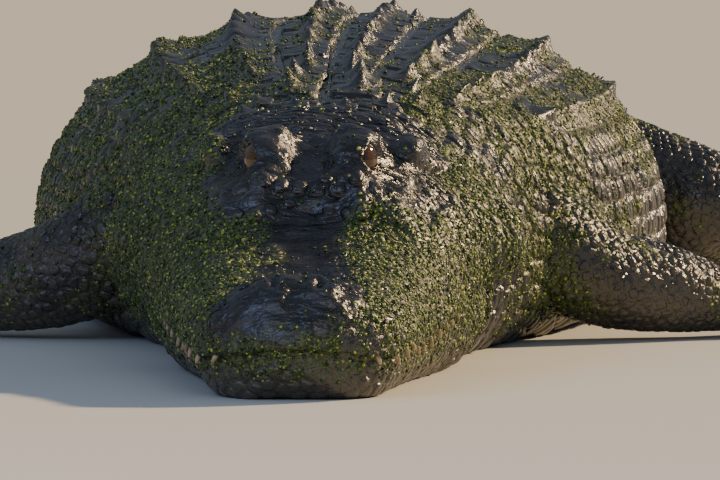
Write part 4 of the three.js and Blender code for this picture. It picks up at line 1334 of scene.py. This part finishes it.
def makeLids(hand):
    # the wrinkled rim round the opening of the eye, a ring of round section
    out, across, up = eyeAxes(hand)
    bm = bmesh.new()

    def place(u, around):
        phi = u * 2 * math.pi
        cos, sin = np.cos(phi), np.sin(phi)
        power = 2 / eyes["almond"]
        wide = eyes["halfAcross"] * np.sign(cos) * np.abs(cos) ** power
        high = eyes["halfHigh"] * np.sign(sin) * np.abs(sin) ** power
        way = out + across * np.tan(wide)[:, None] + up * np.tan(high)[:, None]
        way /= np.linalg.norm(way, axis=1)[:, None]
        outward = across * cos[:, None] + up * sin[:, None]
        outward -= way * (way * outward).sum(axis=1)[:, None]
        outward /= np.linalg.norm(outward, axis=1)[:, None]
        thick = lids["rim"] * (1 + 0.35 * np.maximum(0, sin))
        thick += lids["wrinkle"] * np.sin(phi * lids["wrinkles"])
        middle = eyeCentre(hand) + way * (eyes["radius"] + lids["clear"]) + outward * (thick * 0.6)[:, None]
        ring = way * np.cos(around)[:, None] + outward * np.sin(around)[:, None]
        return middle + ring * thick[:, None]

    loft(bm, place, lids["corners"], lids["section"])
    bmesh.ops.recalc_face_normals(bm, faces=bm.faces)
    return bm


for name, hand in hands.items():
    rim = newPiece("lids_" + name, makeLids(hand), hide, slot="skin")
    for key in ("algae", "pale"):
        setAttribute(rim.data, key, np.zeros(len(rim.data.vertices)))

# Dark worn horn: claws with a dull shine and paler, scuffed tips.
horn = makeStained("claw_horn", 3.8462, "1a1712", "4b4335", 0.38)
for name, hand in hands.items():
    for limb, which in (("hand", "fore"), ("foot", "hind")):
        number = 0
        for line, clawed in toeLines(which, hand):
            if not clawed:
                continue
            number += 1
            tip, step = line[-1], line[-1, :2] - line[0, :2]
            step = step / np.linalg.norm(step)
            rows = [[*(tip[:2] + step * ahead), z, thick * 0.8, thick] for ahead, z, thick in legs["claw"]]
            bm = bmesh.new()
            loft(bm, limbPlace(rows, 0.1), 36, 18)
            bmesh.ops.recalc_face_normals(bm, faces=bm.faces)
            label = "_".join([limb, name, str(number)])
            newPiece("horn_" + label, bm, horn, "claw_" + label, slot="claw")

teeth = {
    # station and length of each upper tooth that shows below the lip
    "rows": [
        [0.034, 0.007], [0.056, 0.009], [0.078, 0.011], [0.100, 0.008], [0.126, 0.006], [0.152, 0.007],
        [0.176, 0.009], [0.200, 0.012], [0.224, 0.009], [0.250, 0.007], [0.276, 0.007], [0.300, 0.005],
    ],
    # from the root to the tip: share of the length, share of the width, how far inside the lip
    "shape": [
        [0, 0.7, 0.0065], [0.3, 1.0, 0.0032], [0.6, 0.78, 0.0016], [0.85, 0.45, 0.0014], [1, 0.14, 0.0020],
    ],
    # width of a tooth 15 mm long, and how far the root is above the mouth's line
    "width": 0.0050, "above": 0.006,
}


def lipEdge(s, hand):
    turn = np.linspace(0.3, 3.0, 400) * hand
    points = headPoints(np.full(len(turn), s), turn) - origin
    mouth = keyed(head["mouth"], s)[0, 0]
    nearest = np.argmin(np.abs(points[:, 2] - mouth))
    return np.array([points[nearest, 0], s, mouth])


bm = bmesh.new()
for hand in hands.values():
    for s, length in teeth["rows"]:
        root = lipEdge(s, hand)
        width = teeth["width"] * (0.7 + 0.3 * length / 0.015)
        rows = []
        for share, size, inward in teeth["shape"]:
            z = root[2] + teeth["above"] - (length + teeth["above"]) * share
            rows.append([root[0] - hand * inward, root[1], z, width / 2 * size, width / 2 * size])
        loft(bm, limbPlace(rows, 0.1), 18, 12)
bmesh.ops.recalc_face_normals(bm, faces=bm.faces)
# Old stained teeth: ivory with brown at the roots, softly shining.
newPiece("teeth", bm, makeStained("stained_ivory", 5.2632, "b8a683", "7c6641", 0.3), slot="claw")
print("lids, claws and teeth: built")

# Studio: a pale floor, a warm low sun from the right and behind, and cool soft light from the left and front.
studio = {
    # camera: its place from the snout, turns in degrees, lens and sensor in millimetres, how far it sees
    "camera": {
        "at": (0.331, -7.993, 0.54), "pitch": 2.94, "yaw": 2.0, "lens": 504.15, "sensor": 36, "far": 200,
    },
    "floor": 60.0,
    # each lamp's kind, place, the place it is aimed at, strength, colour, and its size or angle across
    "lamps": {
        "fill": ["AREA", (-2.6, -3.4, 2.6), (0.0, 0.3, 0.1), 60, "b4ccff", {"shape": "DISK", "size": 2.6}],
        "front": ["AREA", (0.9, -5.0, 2.4), (0.0, 0.2, 0.1), 30, "ffffff", {"shape": "DISK", "size": 2.4}],
        "sun": ["SUN", (3.2, 2.2, 2.1), (0.0, 0.0, 0.0), 5.6, "ffdcaa", {"angle": math.radians(3.5)}],
    },
    "sky": {"Color": "cddcf2", "Strength": 0.32},
}


def buildStudio():
    bm = bmesh.new()
    bmesh.ops.create_grid(bm, x_segments=1, y_segments=1, size=studio["floor"] / 2)
    mesh = bpy.data.meshes.new("studio_floor")
    bm.to_mesh(mesh)
    bm.free()
    # Matt pale paper: an even ground that shows the soft shadow.
    material, _, shader = newMaterial("matt_paper")
    feed(shader, {"Base Color": "cfcfca", "Roughness": 0.9})
    mesh.materials.append(material)
    floor = addToScene("studio_floor", mesh)
    for name, (kind, place, aim, strength, colour, settings) in studio["lamps"].items():
        data = bpy.data.lights.new(name, kind)
        for key, value in settings.items():
            setattr(data, key, value)
        data.energy = strength
        data.color = linear(colour)[:3]
        lamp = addToScene(name, data)
        lamp.location = Vector(place) + Vector(origin)
        lamp.rotation_euler = (Vector(aim) - Vector(place)).to_track_quat("-Z", "Y").to_euler()
    view = studio["camera"]
    camera = addToScene("camera", bpy.data.cameras.new("camera"))
    camera.location = Vector(view["at"]) + Vector(origin)
    camera.rotation_euler = (math.radians(90 - view["pitch"]), 0, math.radians(view["yaw"]))
    camera.data.lens, camera.data.sensor_width = view["lens"], view["sensor"]
    camera.data.clip_end = view["far"]
    bpy.context.scene.camera = camera
    world = bpy.data.worlds.new("studio")
    world.use_nodes = True
    feed(world.node_tree.nodes["Background"], studio["sky"])
    bpy.context.scene.world = world


buildStudio()
